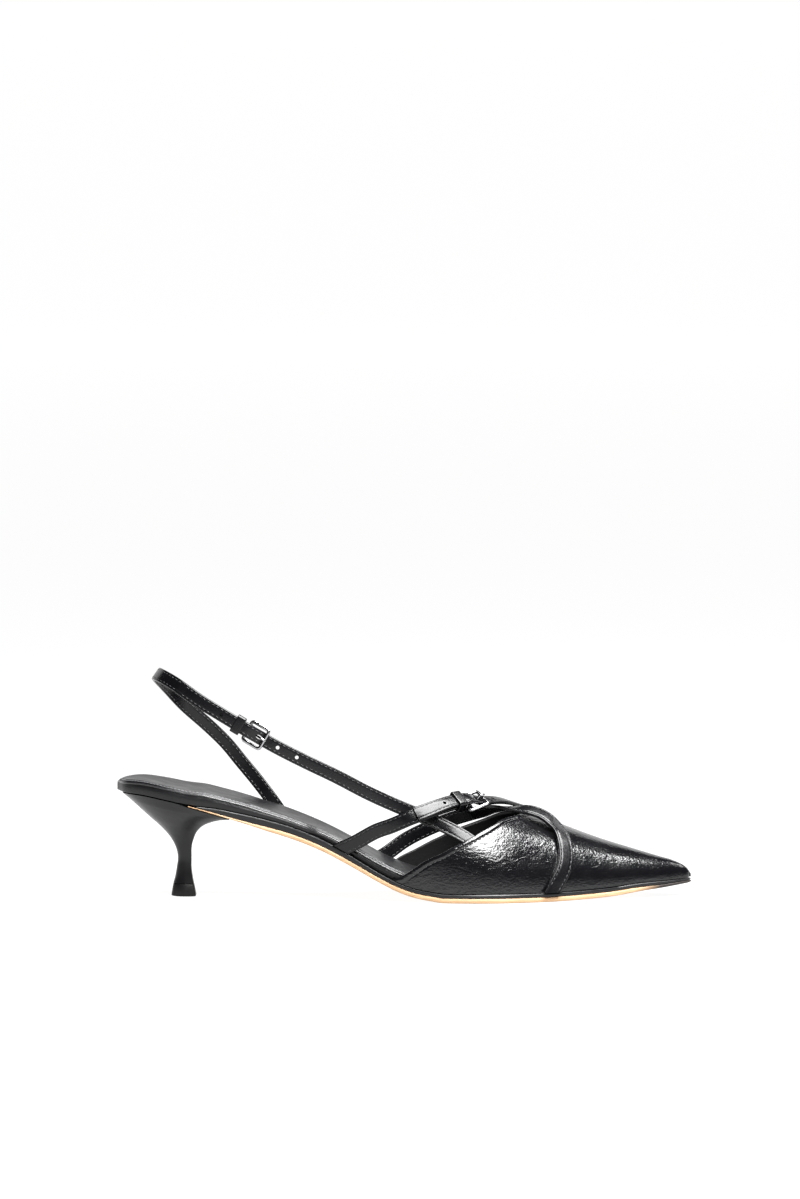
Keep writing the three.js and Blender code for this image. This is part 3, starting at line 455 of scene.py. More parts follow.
def smooth(rows):
    """A smooth curve through rows of (position, value) that never overshoots its rows."""
    x, y = (np.array(column, float) for column in zip(*rows))
    step = np.diff(x)
    rise = np.diff(y) / step
    before, after = rise[:-1], rise[1:]
    total = np.where(before * after > 0, before + after, 1)
    inner = np.where(before * after > 0, 2 * before * after / total, 0)
    slope = np.concatenate([rise[:1], inner, rise[-1:]])

    def value(at):
        v = np.clip(at, x[0], x[-1])
        i = np.clip(np.searchsorted(x, v) - 1, 0, len(x) - 2)
        t = (v - x[i]) / step[i]
        rest = 1 - t
        ends = y[i] * (1 + 2 * t) * rest**2 + y[i + 1] * t**2 * (3 - 2 * t)
        return ends + step[i] * t * rest * (slope[i] * rest - slope[i + 1] * t)

    return value


def table(rows, scale, column=1):
    return smooth([(along(row[0]), row[column] * scale) for row in rows])


def spline(points):
    """A centripetal curve through points, as a function of a share from 0 to 1."""
    p = np.array(points, float)
    p = np.vstack([2 * p[0] - p[1], p, 2 * p[-1] - p[-2]])
    gap = np.linalg.norm(np.diff(p, axis=0), axis=1) ** 0.5
    spans = len(p) - 3
    tiny = 1e-4

    def place(share):
        at = np.clip(np.asarray(share, float), 0, 1) * spans
        i = np.minimum(at.astype(int), spans - 1)
        w = (at - i)[..., None]
        g0, g1, g2 = (gap[i + k][..., None] for k in range(3))
        g1 = np.where(g1 < tiny, 1, g1)
        g0 = np.where(g0 < tiny, g1, g0)
        g2 = np.where(g2 < tiny, g1, g2)
        a, b, c, d = (p[i + k] for k in range(4))
        leave = ((b - a) / g0 - (c - a) / (g0 + g1) + (c - b) / g1) * g1
        enter = ((c - b) / g1 - (d - b) / (g1 + g2) + (d - c) / g2) * g1
        bend = 3 * (c - b) - 2 * leave - enter
        return b + leave * w + bend * w**2 + (2 * (b - c) + leave + enter) * w**3

    return place


def inset_points(points, inset):
    """A planar curve through points, moved sideways by an inset."""
    curve = spline(points)
    share = np.linspace(0, 1, 241)
    at = np.clip(share, 0.001, 0.999)
    direction = unit(curve(at + 1e-4) - curve(at - 1e-4))
    return curve(share) + np.stack([-direction[:, 1], direction[:, 0]], 1) * inset


def inset_curve(points, inset):
    moved = inset_points(points, inset)
    ahead = np.maximum.accumulate(moved[:, 0])
    keep = np.concatenate([[True], moved[1:, 0] > ahead[:-1]])
    return lambda x: np.interp(x, moved[keep, 0], moved[keep, 1])


def plan_rows(rows):
    return [(along(x), y * BALL_WIDTH) for x, y in rows]


def outlines(inset):
    """The shoe's two edges in plan, the little-toe side first, both moved inward."""
    sides = ((LATERAL_OUTLINE, 1), (MEDIAL_OUTLINE, -1))
    return [inset_curve(plan_rows(rows), sign * inset) for rows, sign in sides]


# The last and the layers of the sole

TOE = along(1)
BACK = along(0)
RAND_START = along(RAND_TAPER[0][0])
SOLE_START = along(SOLE_TAPER[0][0])
RIM_CLEARANCE = 0.12

seat_rise = table(SEAT, SEAT_RISE)
sole_taper = table(SOLE_TAPER, SOLE_THICKNESS)
rand_taper = table(RAND_TAPER, RAND_THICKNESS)
band_rise = table(BAND, BAND_HEIGHT)
ridge_rows = [(along(x), z * THROAT_HEIGHT) for x, z in RIDGE]
ridge = inset_curve(ridge_rows, 0)
ridge_inside = inset_curve(ridge_rows, -WALL)
ridge_plan = table(RIDGE_PLAN, BALL_WIDTH)
RAMP_LENGTH = 5
RAMP_LEAD = 2
over_rand = smooth([(RAND_START - RAMP_LEAD - RAMP_LENGTH, 0), (RAND_START - RAMP_LEAD, 1)])


def seat_top(x):
    return SOLE_THICKNESS + seat_rise(x)


def sole_bottom(x):
    return seat_top(x) - sole_taper(x)


def rand_top(x):
    return seat_top(x) + GAP + rand_taper(x)


def feather(x):
    return rand_top(x) + GAP


def band_top(x):
    return seat_top(x) + band_rise(x)


def under_footbed(x):
    return mix(seat_top(x) + GAP, feather(x), over_rand(x))


def last_surface(inset):
    """A place on the last from x and a turn: 0 is the little-toe edge, pi the other one."""
    lateral, medial = outlines(RAND_SHOWN + inset)
    crest = ridge_inside if inset > 0 else ridge

    def place(x, turn):
        x, turn = np.broadcast_arrays(np.asarray(x, float), np.asarray(turn, float))
        near = turn < math.pi / 2
        middle = ridge_plan(x)
        side = np.where(near, lateral(x), medial(x))
        power = 2 / np.where(near, 2.05, 2.3)
        out = np.abs(np.cos(turn)) ** power
        up = np.abs(np.sin(turn)) ** power
        base = feather(x) + RIM_CLEARANCE
        z = base + np.maximum(crest(x) - base, 0.4) * up
        return np.stack([x, middle + (side - middle) * out, z], -1)

    return place


vamp_outside = last_surface(0)
vamp_inside = last_surface(WALL)


def topline_x(turn):
    """Where the opening's edge cuts the curve of each turn."""
    found = np.empty_like(turn)
    near = turn < math.pi / 2
    for rows, chosen in ((LATERAL_TOPLINE, near), (MEDIAL_TOPLINE, ~near)):
        throat = along(rows[-1][0])
        edge = table(rows, float(ridge(throat) - feather(throat)))
        low = np.full(chosen.sum(), along(rows[0][0]))
        high = np.full(chosen.sum(), throat)
        for _ in range(40):
            x = (low + high) / 2
            over = vamp_outside(x, turn[chosen])[:, 2] - feather(x) > edge(x)
            low = np.where(over, x, low)
            high = np.where(over, high, x)
        found[chosen] = (low + high) / 2
    return found


# Meshes

def grid_faces(rows, columns, wrap_rows=False, wrap_columns=True, start=0):
    i = np.arange(rows if wrap_rows else rows - 1)[:, None]
    j = np.arange(columns if wrap_columns else columns - 1)[None, :]
    here = i * columns
    after = (i + 1) % rows * columns
    nxt = (j + 1) % columns
    corners = np.stack([here + j, here + nxt, after + nxt, after + j], -1)
    return (corners.reshape(-1, 4) + start).tolist()


def signed_volume(points, faces):
    total = 0.0
    for face in faces:
        fan = points[face]
        total += np.sum(np.cross(fan[1:-1], fan[2:]) @ fan[0])
    return total


def build_object(name, points, faces, materials, indices=None, crease=42):
    """An object from points in millimetres, its faces turned outward and shaded smooth."""
    points = np.asarray(points, float).reshape(-1, 3)
    if signed_volume(points, faces) < 0:
        faces = [face[::-1] for face in faces]
    mesh = bpy.data.meshes.new(name)
    mesh.from_pydata((points * MM).tolist(), [], faces)
    for material in materials:
        mesh.materials.append(material)
    if indices is not None:
        mesh.polygons.foreach_set("material_index", indices)
    mesh.shade_smooth()
    mesh.set_sharp_from_angle(angle=math.radians(crease))
    made = bpy.data.objects.new(name, mesh)
    bpy.context.scene.collection.objects.link(made)
    return made


def tube_object(name, rings, material, closed=False, crease=42):
    """A body through closed rings of points, with flat ends unless it closes on itself."""
    rings = np.asarray(rings, float)
    rows, columns = rings.shape[:2]
    faces = grid_faces(rows, columns, wrap_rows=closed)
    if not closed:
        faces.append(list(range(columns))[::-1])
        faces.append(list(range((rows - 1) * columns, rows * columns)))
    return build_object(name, rings, faces, [material], crease=crease)


def full_turn(sides):
    return np.linspace(0, 2 * math.pi, sides, endpoint=False)


def swept(places, side, up, across, out):
    """Rings of points: a section carried along places on two directions."""
    return places[:, None] + side[:, None] * across[..., None] + up[:, None] * out[..., None]


def round_cord(name, places, radius, material, sides=10):
    tangent = unit(np.gradient(places, axis=0))
    side = unit(np.cross(tangent, [0.0, 0.0, 1.0]))
    up = np.cross(side, tangent)
    turn = full_turn(sides)
    rings = swept(places, side, up, radius * np.cos(turn), radius * np.sin(turn))
    return tube_object(name, rings, material)


def carve(piece, cutters):
    """Takes the cutters out of a piece and removes them."""
    for cutter in cutters:
        modifier = piece.modifiers.new("cut", "BOOLEAN")
        modifier.operation = "DIFFERENCE"
        modifier.solver = "EXACT"
        modifier.object = cutter
    depsgraph = bpy.context.evaluated_depsgraph_get()
    mesh = bpy.data.meshes.new_from_object(piece.evaluated_get(depsgraph))
    piece.modifiers.clear()
    piece.data = mesh
    mesh.shade_smooth()
    mesh.set_sharp_from_angle(angle=math.radians(38))
    for cutter in cutters:
        bpy.data.objects.remove(cutter)
    return piece


def fit(piece, slot, *nodes):
    """Lets a piece ride on the shoe and hides the nodes that it stands for. The slot is not used.
    """
    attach(piece, BODY)
    if nodes:
        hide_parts(*nodes)
    return piece


def stitch_template(rings=3, sides=6):
    """A small capsule along x: points with unit length and radius, and its faces."""
    places = [(-1.0, 0.0, 0.0)]
    for i in range(rings):
        turn = math.pi * (i + 1) / (rings + 1)
        for k in range(sides):
            around = 2 * math.pi * k / sides
            reach = math.sin(turn)
            places.append((-math.cos(turn), reach * math.cos(around), reach * math.sin(around)))
    places.append((1.0, 0.0, 0.0))
    faces = grid_faces(rings, sides, start=1)
    last = len(places) - 1
    for k in range(sides):
        after = (k + 1) % sides
        faces.append([0, 1 + after, 1 + k])
        faces.append([last, last - sides + k, last - sides + after])
    return np.array(places), faces


def make_stitches(name, paths, slot, material, pitch=STITCH_PITCH, radius=THREAD_RADIUS):
    """Rows of stitches along paths of (places, outward directions)."""
    shape, shape_faces = stitch_template()
    shape = shape * [STITCH_LENGTH / 2, radius, radius]
    points, faces = [], []
    for places, outward in paths:
        run = run_along(places)
        for s in np.arange(pitch, run[-1] - pitch / 2, pitch):
            a, c, b = (
                np.array([np.interp(s + shift, run, places[:, k]) for k in range(3)])
                for shift in (-0.4, 0, 0.4)
            )
            n = unit(np.array([np.interp(s, run, outward[:, k]) for k in range(3)]))
            t = unit(b - a)
            start = len(points) * len(shape)
            faces.extend([[v + start for v in face] for face in shape_faces])
            points.append(c + shape @ np.stack([t, np.cross(n, t), n]))
    piece = build_object(name, np.concatenate(points), faces, [material], crease=80)
    return fit(piece, slot)


# Sole, rand and footbed

def distance_to(points, polyline):
    """The distance of each planar point from a polyline."""
    a, b = polyline[:-1], polyline[1:]
    span = b - a
    size = np.maximum(np.sum(span**2, 1), 1e-12)
    flat = points.reshape(-1, 2)
    best = np.full(len(flat), 1e9)
    for start, step, length in zip(a, span, size):
        share = np.clip(((flat - start) @ step) / length, 0, 1)
        gap = flat - start - share[:, None] * step
        best = np.minimum(best, np.einsum("ij,ij->i", gap, gap))
    return np.sqrt(best).reshape(points.shape[:-1])


def rolled(distance, radius):
    """How far an edge of a radius falls away at a distance from the rim."""
    rest = np.clip((radius - distance) / radius, 0, 1)
    return radius * (1 - np.sqrt(1 - rest**2))


def crowded(count, pull=0.82):
    """Shares from -1 to 1 that crowd toward both ends."""
    even = np.linspace(-1, 1, count)
    return mix(even, np.sin(even * math.pi / 2), pull)


def plate_rings(start, end, lateral, medial, bottom, top, roll, stations=150, across=41, bulge=0.0):
    """Rings of a plate whose top and bottom edges roll over, crowded toward its ends."""
    x = mix(start, end, (crowded(stations, 1.0) + 1) / 2)
    middle = (lateral(x) + medial(x)) / 2
    half = np.maximum((medial(x) - lateral(x)) / 2, 0.05)
    share = crowded(across)
    y = middle[:, None] + half[:, None] * share[None, :]
    grid = np.stack([np.broadcast_to(x[:, None], y.shape), y], -1)
    rim = np.vstack([
        np.stack([x, middle - half], 1), np.stack([x, middle + half], 1)[::-1],
    ])
    rim = np.vstack([rim, rim[:1]])
    inward = distance_to(grid, rim)
    upper = top(grid[..., 0], share[None, :], inward)
    lower = np.broadcast_to(bottom(grid[..., 0]), upper.shape)
    room = (upper - lower) / 2.2
    upper = upper - rolled(inward, np.minimum(roll, room))
    lower = lower + rolled(inward, np.minimum(BOTTOM_ROLL, room))
    side = np.linspace(0, 1, 7)[1:-1]
    swell = bulge * np.sin(math.pi * side)

    def wall(column, sign, order):
        z = mix(lower[:, column, None], upper[:, column, None], side[None, :])
        wall_y = y[:, column, None] + sign * swell[None, :]
        wall_x = np.broadcast_to(x[:, None], wall_y.shape)
        return np.stack([wall_x, wall_y, z], -1)[:, ::order]

    top_points = np.concatenate([grid, upper[..., None]], -1)[:, ::-1]
    bottom_points = np.concatenate([grid, lower[..., None]], -1)
    return np.concatenate([bottom_points, wall(-1, 1, 1), top_points, wall(0, -1, -1)], 1)


def make_outsole(material):
    rings = plate_rings(
        SOLE_START, TOE, *outlines(0), sole_bottom, lambda x, share, inward: seat_top(x), SOLE_ROLL,
    )
    fit(tube_object("sole_layer", rings, material), "outsole_leather", "outsole")


def make_rand(material):
    inset = RAND_SHOWN / 3
    rings = plate_rings(
        RAND_START, TOE - inset, *outlines(inset), lambda x: seat_top(x) + GAP * 0.4,
        lambda x, share, inward: rand_top(x), RAND_ROLL,
    )
    fit(tube_object("welt", rings, material), "rand_leather", "rand")


FOOTBED_END = along(0.955)
FOOTBED_OPEN_END = 0.5
arch_raise = smooth([(along(0.2), 0), (along(0.33), 1.2), (along(0.5), 0)])
hollow = smooth([(BACK, 0.2), (along(0.1), 1.4), (along(0.3), 0.8), (FOOTBED_END, 0.3)])


def groove(distance, place, depth, width):
    return depth * np.exp(-(((distance - place) / width) ** 2))


def footbed_top(x, share, inward):
    """The footbed's upper face: hollow under the foot, with a grooved border round it."""
    face = band_top(x) + arch_raise(x) * np.maximum(share, 0) ** 2
    face = face - hollow(x) * (1 - share**2)
    seam = groove(inward, FOOTBED_GROOVE, 0.5, 0.16)
    return face - seam - groove(inward, FOOTBED_BORDER, 0.5, 0.25)


def make_footbed(material, thread):
    lateral_inset = table(FOOTBED_INSET, LASTING_INSET, 1)
    medial_inset = table(FOOTBED_INSET, LASTING_INSET, 2)
    lateral, medial = outlines(0)
    rings = plate_rings(
        BACK, FOOTBED_END, lambda x: lateral(x) + lateral_inset(x),
        lambda x: medial(x) - medial_inset(x), under_footbed, footbed_top, FOOTBED_ROLL,
        stations=220, across=75, bulge=FOOTBED_BULGE,
    )
    fit(tube_object("footbed", rings, material), "footbed_lining", "insole")

    paths, beads = [], []
    edges = ((LATERAL_OUTLINE, lateral_inset, 1), (MEDIAL_OUTLINE, medial_inset, -1))
    for rows, inset, sign in edges:
        for inward, kept in ((FOOTBED_STITCH_INSET, paths), (BEAD_INSET, beads)):
            row = inset_points(plan_rows(rows), sign * inward)
            row = row[(row[:, 0] < along(FOOTBED_OPEN_END)) & (sign * row[:, 1] < -0.3)]
            x = row[:, 0]
            y = row[:, 1] + sign * inset(x)
            half = (medial(x) - lateral(x)) / 2
            share = (y - (medial(x) + lateral(x)) / 2) / half
            z = footbed_top(x, share, np.full_like(x, inward)) - rolled(inward, FOOTBED_ROLL)
            lean = (FOOTBED_ROLL - inward) / FOOTBED_ROLL
            out = np.gradient(np.stack([x, y], 1), axis=0)[:, ::-1] * [sign, -sign]
            flat = unit(out) * lean
            up = np.full((len(x), 1), math.sqrt(1 - lean**2))
            kept.append((np.stack([x, y, z], 1), np.hstack([flat, up])))
    make_stitches(
        "footbed_stitches", paths, "footbed_lining", thread, pitch=FOOTBED_STITCH_PITCH,
    )
    near, far = (places for places, _ in beads)
    piping = np.vstack([near[::-1], far])
    fit(round_cord("footbed_piping", piping, BEAD_RADIUS, piping_leather()), "footbed_lining")


# Heel

HEEL_CORNER = 0.06
HEEL_CORNER_LIMIT = 0.9
SHARE_WEIGHT = 20


def round_back(share):
    """The share of the half width at each share of the depth, widest past the middle."""
    widest = 0.6
    rear = np.sqrt(np.maximum(1 - (1 - np.minimum(share, widest) / widest) ** 2, 0))
    front = 1 - 0.13 * ((share - widest) / (1 - widest)) ** 2
    return np.where(share < widest, rear, front)


def heel_shares():
    """Shares of the depth: close together at the round back and at the front corners."""
    turn = np.linspace(0, math.pi / 2, 22)
    corner = 1 - HEEL_CORNER * (1 - np.sin(np.linspace(0, math.pi / 2, 6)))
    return np.concatenate([(1 - np.cos(turn))[:-1] * (1 - HEEL_CORNER), corner])


HEEL_SHARES = heel_shares()


def softened(half, depth):
    """Half widths with the two front corners rounded."""
    corner = np.minimum(HEEL_CORNER * depth, HEEL_CORNER_LIMIT)
    turn = np.clip((HEEL_SHARES - (1 - HEEL_CORNER)) / HEEL_CORNER, 0, 1)
    return half - corner * (1 - np.sqrt(1 - turn**2))


def heel_ring(x, z, lateral, medial):
    near = np.stack([x[1:], -lateral[1:], z[1:]], 1)
    far = np.stack([x[1:], medial[1:], z[1:]], 1)
    return np.vstack([[[x[0], 0, z[0]]], near, far[::-1]])


def make_heel(material):
    lateral, medial = outlines(RAND_SHOWN)
    over_sole = smooth([(SOLE_START - RAMP_LENGTH, 0), (SOLE_START, 1)])
    top_x = along(mix(*HEEL_TOP, HEEL_SHARES))
    top_z = seat_top(top_x) - (sole_taper(top_x) + GAP) * over_sole(top_x) - GAP * 0.4
    widest = float(medial(along(0.13)))
    seat_near = np.abs(lateral(top_x)) / widest
    seat_far = medial(top_x) / widest
    tip_z = (HEEL_TIP_HEIGHT + GAP * 0.5) / SEAT_RISE
    rows = [(tip_z, HEEL_TIP_TOP[0], tip_z, HEEL_TIP_TOP[1], HEEL_TIP_TOP[2], 0), *HEEL_SECTIONS]
    scale = np.array([SEAT_RISE, LENGTH, SEAT_RISE, LENGTH, BALL_WIDTH, SHARE_WEIGHT])
    sections = spline(np.array(rows) * scale)(np.linspace(0, 1, 90))
    rings = []
    for rear_z, rear_x, front_z, front_x, half, follow in sections:
        x = mix(rear_x, front_x, HEEL_SHARES) - LENGTH / 2
        z = mix(rear_z, front_z, HEEL_SHARES)
        share = np.clip(follow / SHARE_WEIGHT, 0, 1)
        depth = front_x - rear_x
        near = softened(half * mix(round_back(HEEL_SHARES), seat_near, share), depth)
        far = softened(half * mix(round_back(HEEL_SHARES), seat_far, share), depth)
        rings.append(heel_ring(x, z, near, far))
    depth = top_x[-1] - top_x[0]
    seat = heel_ring(
        top_x, top_z, softened(seat_near * widest, depth), softened(seat_far * widest, depth),
    )
    last = rings[-1]
    rings.extend(mix(last, seat, share) for share in (0.25, 0.5, 0.75, 0.96))
    rings.append(mix(seat, seat.mean(0), 0.012))
    fit(tube_object("heel_body", rings, material, crease=50), "heel_cover", "heel")


def make_heel_tip(material):
    rings = []
    for level, grow in ((0, -0.35), (0.06, 0), (0.5, 0), (0.94, 0), (1.0, -0.25)):
        rear, front, half = mix(np.array(HEEL_TIP_BOTTOM), np.array(HEEL_TIP_TOP), level)
        x = along(mix(rear, front, HEEL_SHARES))
        off_middle = x - x.mean()
        x = x + grow * np.sign(off_middle) * (np.abs(off_middle) > 3)
        z =np.full_like(x, level * HEEL_TIP_HEIGHT)
        width = softened(half * BALL_WIDTH * round_back(HEEL_SHARES), (front - rear) * LENGTH)
        width = np.maximum(width + grow, 0.01)
        rings.append(heel_ring(x, z, width, width))
    fit(tube_object("heel_top_piece", rings, material, crease=50), "heel_tip_rubber", "heel_tip")


# Vamp

TOPLINE_STEPS = 18
TOPLINE_BORDER = 7.0
VAMP_ROWS = 84
VAMP_COLUMNS = 110


def vamp_skin(surface, turns, starts, toe):
    """Rows along the opening's edge, close together, then rows up to the toe."""
    x = [starts + TOPLINE_BORDER * share for share in np.linspace(0, 1, TOPLINE_STEPS)]
    left = 1 - np.linspace(0, 1, VAMP_ROWS - TOPLINE_STEPS + 1)[1:]
    x.extend(mix(starts + TOPLINE_BORDER, toe, 1 - share) for share in left**1.7)
    return surface(np.array(x), np.broadcast_to(turns, (len(x), len(turns))))


def gap_to(rim, points):
    """The distance from each point to the nearest point of the rim."""
    gaps = [np.min(np.linalg.norm(rim - p, axis=1)) for p in points.reshape(-1, 3)]
    return np.array(gaps).reshape(points.shape[:-1])


def puffed(skin, rim):
    """The turned edge swells up to its stitches, which sit in a groove."""
    gaps = gap_to(rim, skin)
    normal = unit(np.cross(np.gradient(skin, axis=1), np.gradient(skin, axis=0)))
    normal = np.where(dot(normal, skin * [0, 1, 1]) < 0, -normal, normal)
    swell = 0.22 * np.sin(math.pi * np.clip(gaps / TOPLINE_STITCH_INSET, 0, 1))
    return skin + normal * (swell - groove(gaps, TOPLINE_STITCH_INSET, 0.2, 0.4))[..., None]


def make_vamp(leather, lining, thread):
    turns = np.linspace(0, math.pi, VAMP_COLUMNS + 1)
    starts = topline_x(turns)
    outer = vamp_skin(vamp_outside, turns, starts, TOE - RAND_SHOWN - 0.05)
    inner = vamp_skin(vamp_inside, turns, starts, TOE - RAND_SHOWN - WALL - 0.05)
    rim_turns = np.linspace(0, math.pi, 500)
    rim_line = vamp_outside(topline_x(rim_turns), rim_turns)
    outer = puffed(outer, rim_line)
    middle = (outer[0] + inner[0]) / 2
    half = (outer[0] - inner[0]) / 2
    outward = unit(outer[0] - outer[1])
    size = np.linalg.norm(half, axis=1, keepdims=True)
    rim = []
    for turn in np.linspace(0, math.pi, 9)[1:-1]:
        rim.append(middle + half * math.cos(turn) + outward * size * 0.6 * math.sin(turn))
    nose = []
    end = outer[-1]
    foot = (end[0] + end[-1]) / 2
    for turn in np.linspace(0, math.pi / 2, 6)[1:]:
        dome = foot + (end - foot) * math.cos(turn)
        dome[:, 0] += 0.5 * math.sin(turn)
        nose.append(dome)
    grid = np.array([*nose[::-1], *outer[::-1], *rim, *inner])
    faces = grid_faces(len(grid), VAMP_COLUMNS + 1, wrap_columns=False)
    outside_rows = len(nose) + len(outer) + len(rim) // 2
    indices = [0 if i // VAMP_COLUMNS < outside_rows else 1 for i in range(len(faces))]
    piece = build_object("vamp_upper", grid, faces, [leather, lining], indices, crease=70)
    fit(piece, "upper_leather", "vamp")
    make_topline_stitches(rim_line, thread)


def make_topline_stitches(rim_line, thread):
    turns = np.linspace(0, math.pi, 260)
    x = topline_x(turns)[None, :] + np.linspace(0.3, 14, 80)[:, None]
    field = vamp_outside(x, np.broadcast_to(turns, x.shape))
    reached = np.argmax(gap_to(rim_line, field) > TOPLINE_STITCH_INSET, axis=0)
    row = field[reached, np.arange(len(turns))]
    row = row[row[:, 2] > feather(row[:, 0]) + 1.2]
    centre = np.stack([row[:, 0], ridge_plan(row[:, 0]), feather(row[:, 0])], 1)
    make_stitches("vamp_stitches", [(row, unit(row - centre))], "upper_leather", thread)


# Straps

SKIVED = 0.62
HALF_SKIVED = 0.8
STACK = STRAP_THICKNESS + GAP
BAR_REACH = BUCKLE_LENGTH / 2 - BAR_RADIUS
REAR_BAR_DROP = BAR_RADIUS + GAP + STRAP_THICKNESS * SKIVED / 2
BILLET_DIP = -0.2
FRONT_BAR_LIFT = BILLET_DIP + STRAP_THICKNESS / 2 + GAP + BAR_RADIUS
BAR_LEAD = 2.5
BAR_RUN_OUT = 4
FOOT_PROUD = 0.3
FOOT_RUN = 6
LAID_LIFT = GAP + STRAP_THICKNESS / 2 + 0.15
TUCK_LIFT = -(WALL + GAP + STRAP_THICKNESS / 2 + 0.2)

lateral_edge, medial_edge = outlines(0)


def foot_row(row, side):
    x = along(row[0])
    edge = float(lateral_edge(x) if side < 0 else medial_edge(x))
    y = edge - side * (STRAP_THICKNESS / 2 - FOOT_PROUD)
    return np.array([x, y, seat_top(x) + row[1] * band_rise(x)]), np.array([0.0, side, 0.0])


def free_row(row, height):
    x, y, z, *outward = row
    return np.array([along(x), y * BALL_WIDTH, z * height]), unit(np.array(outward, float))


def laid_row(row, side, lift):
    x = along(row[0])
    quarter = math.pi / 2 * row[1]
    turn = quarter if side < 0 else math.pi - quarter
    length = vamp_outside(x + 0.5, turn) - vamp_outside(x - 0.5, turn)
    around = vamp_outside(x, turn + 0.01) - vamp_outside(x, turn - 0.01)
    n = unit(np.cross(length, around))
    n = -n if n[2] < 0 else n
    extra = row[2] if len(row) > 2 else 0
    return vamp_outside(x, turn) + n * (lift + extra * STRAP_THICKNESS), n


class StrapLine:
    """A smooth line from a foot on one side, through the air, to the other side of the vamp."""

    def __init__(self, side, foot, free, height, laid, lift):
        rows = [foot_row(row, side) for row in foot]
        rows += [free_row(row, height) for row in free]
        rows += [laid_row(row, -side, lift) for row in laid]
        self.places = spline([p for p, n in rows])
        self.normals = spline([n for p, n in rows])
        self.share = np.linspace(0, 1, 601)
        self.run = run_along(self.places(self.share))
        self.length = self.run[-1]

    def frame(self, s):
        """The place, the tangent, the outward direction and the one across at a length."""
        s = np.asarray(s, float)
        inside = np.clip(s, 0, self.length)
        share = np.interp(inside, self.run, self.share)
        safe = np.clip(share, 0.0005, 0.9995)
        tangent = unit(self.places(safe + 1e-4) - self.places(safe - 1e-4))
        n = self.normals(share)
        n = unit(n - dot(n, tangent) * tangent)
        p = self.places(share) + tangent * (s - inside)[..., None]
        return {"p": p, "t": tangent, "n": n, "b": np.cross(n, tangent)}

    def reach(self, x, start):
        """The length at which the line comes to an x, from a start on."""
        s =np.arange(start, self.length, 0.25)
        side = np.sign(self.frame(s)["p"][:, 0] - x)
        crossed = np.nonzero(side != side[0])[0]
        return s[crossed[0]] if len(crossed) else self.length


def line_stations(line, start, end, lift, step=2.0):
    count = max(math.ceil((end - start) / step), 1)
    at = line.frame(np.linspace(start, end, count + 1))
    places = at["p"] + at["n"] * lift
    return [(*p, *b, 1.0) for p, b in zip(places, at["b"])]


def placed(at, a, b, n):
    """Points at distances along a strap, across it and out of it."""
    a, b, n = (np.asarray(part, float)[..., None] for part in (a, b, n))
    return at["p"] + at["t"] * a + at["b"] * b + at["n"] * n


def near_station(at, a, n, thin=1.0):
    return (*placed(at, a, 0, n), *at["b"], thin)


def chape(line, start, at_length):
    """The end of a strap that folds round the buckle's rear bar, thinned for the fold."""
    at = line.frame(at_length)
    stations = line_stations(line, start, at_length - BAR_REACH - BAR_LEAD, 0)
    stations[-1] = (*stations[-1][:6], HALF_SKIVED)
    for i in range(9):
        turn = math.pi / 2 - math.pi * i / 8
        stations.append(near_station(
            at, -BAR_REACH + REAR_BAR_DROP * math.cos(turn),
            REAR_BAR_DROP * (math.sin(turn) - 1), SKIVED,
        ))
    stations.append(near_station(at, -BAR_REACH - 2, -2 * REAR_BAR_DROP + 0.35, SKIVED))
    return stations


def billet(line, tip, at_length, end):
    """The free end that lies over the strap, dips under the front bar and goes on."""
    at = line.frame(at_length)
    stations = line_stations(line, tip, at_length - BAR_REACH - BAR_LEAD, STACK)
    for a, lift in ((-1, 1), (-0.5, 0.82), (0, 0.45), (0.5, 0.1)):
        stations.append(near_station(at, a * BAR_REACH, STACK * lift))
    stations.append(near_station(at, BAR_REACH, BILLET_DIP))
    stations.extend(line_stations(line, at_length + BAR_REACH + BAR_RUN_OUT, end, 0))
    return stations


def resampled(stations, step=0.6):
    """Stations closer together, on a smooth curve through the given ones."""
    weight = np.array([1, 1, 1, 5, 5, 5, 5])
    curve = spline(np.array(stations) * weight)
    share = np.linspace(0, 1, 1600)
    run = run_along(curve(share)[:, :3])
    count = max(int(run[-1] / step), 8)
    found = curve(np.interp(np.linspace(0, run[-1], count + 1), run, share)) / weight
    return found[:, :3], unit(found[:, 3:6]), found[:, 6]


def strap_section(width):
    """Places across and out of a strap with round edges, a low crown and sewn grooves."""
    half = width / 2
    across = half * np.sin(np.linspace(-math.pi / 2, math.pi / 2, 27))
    inward = half - np.abs(across)
    fall = rolled(inward, STRAP_ROLL) + groove(inward, STRAP_STITCH_INSET, 0.1, 0.28)
    crown = 0.1 * (1 - (across / half) ** 2)
    outer = STRAP_THICKNESS / 2 - fall + crown
    inner = -STRAP_THICKNESS / 2 + fall
    return np.concatenate([across, across[::-1]]), np.concatenate([outer, inner[::-1]])


def strap_frames(stations):
    p, b, thin = resampled(stations)
    tangent = unit(np.gradient(p, axis=0))
    n = unit(np.cross(tangent, b))
    return p, unit(np.cross(n, tangent)), n, thin


def strap_rings(stations, width):
    p, b, n, thin = strap_frames(stations)
    across, out = strap_section(width)
    return swept(p, b, n, across, out * thin[:, None])


def trimmed(rings):
    """Rings whose points stop where they reach the face that a strap's foot stands on."""
    rings = rings.copy()
    for column in range(rings.shape[1]):
        line = rings[:, column]
        above = line[:, 2] - under_footbed(line[:, 0])
        low = above < 0
        if not low.any():
            continue
        kept = np.nonzero(~low)[0]
        first, last = kept[0], kept[-1]
        if first > 0:
            share = above[first] / (above[first] - above[first - 1])
            line[:first] = mix(line[first], line[first - 1], share)
        if last < len(line) - 1:
            share = above[last] / (above[last] - above[last + 1])
            line[last + 1:] = mix(line[last], line[last + 1], share)
    return rings


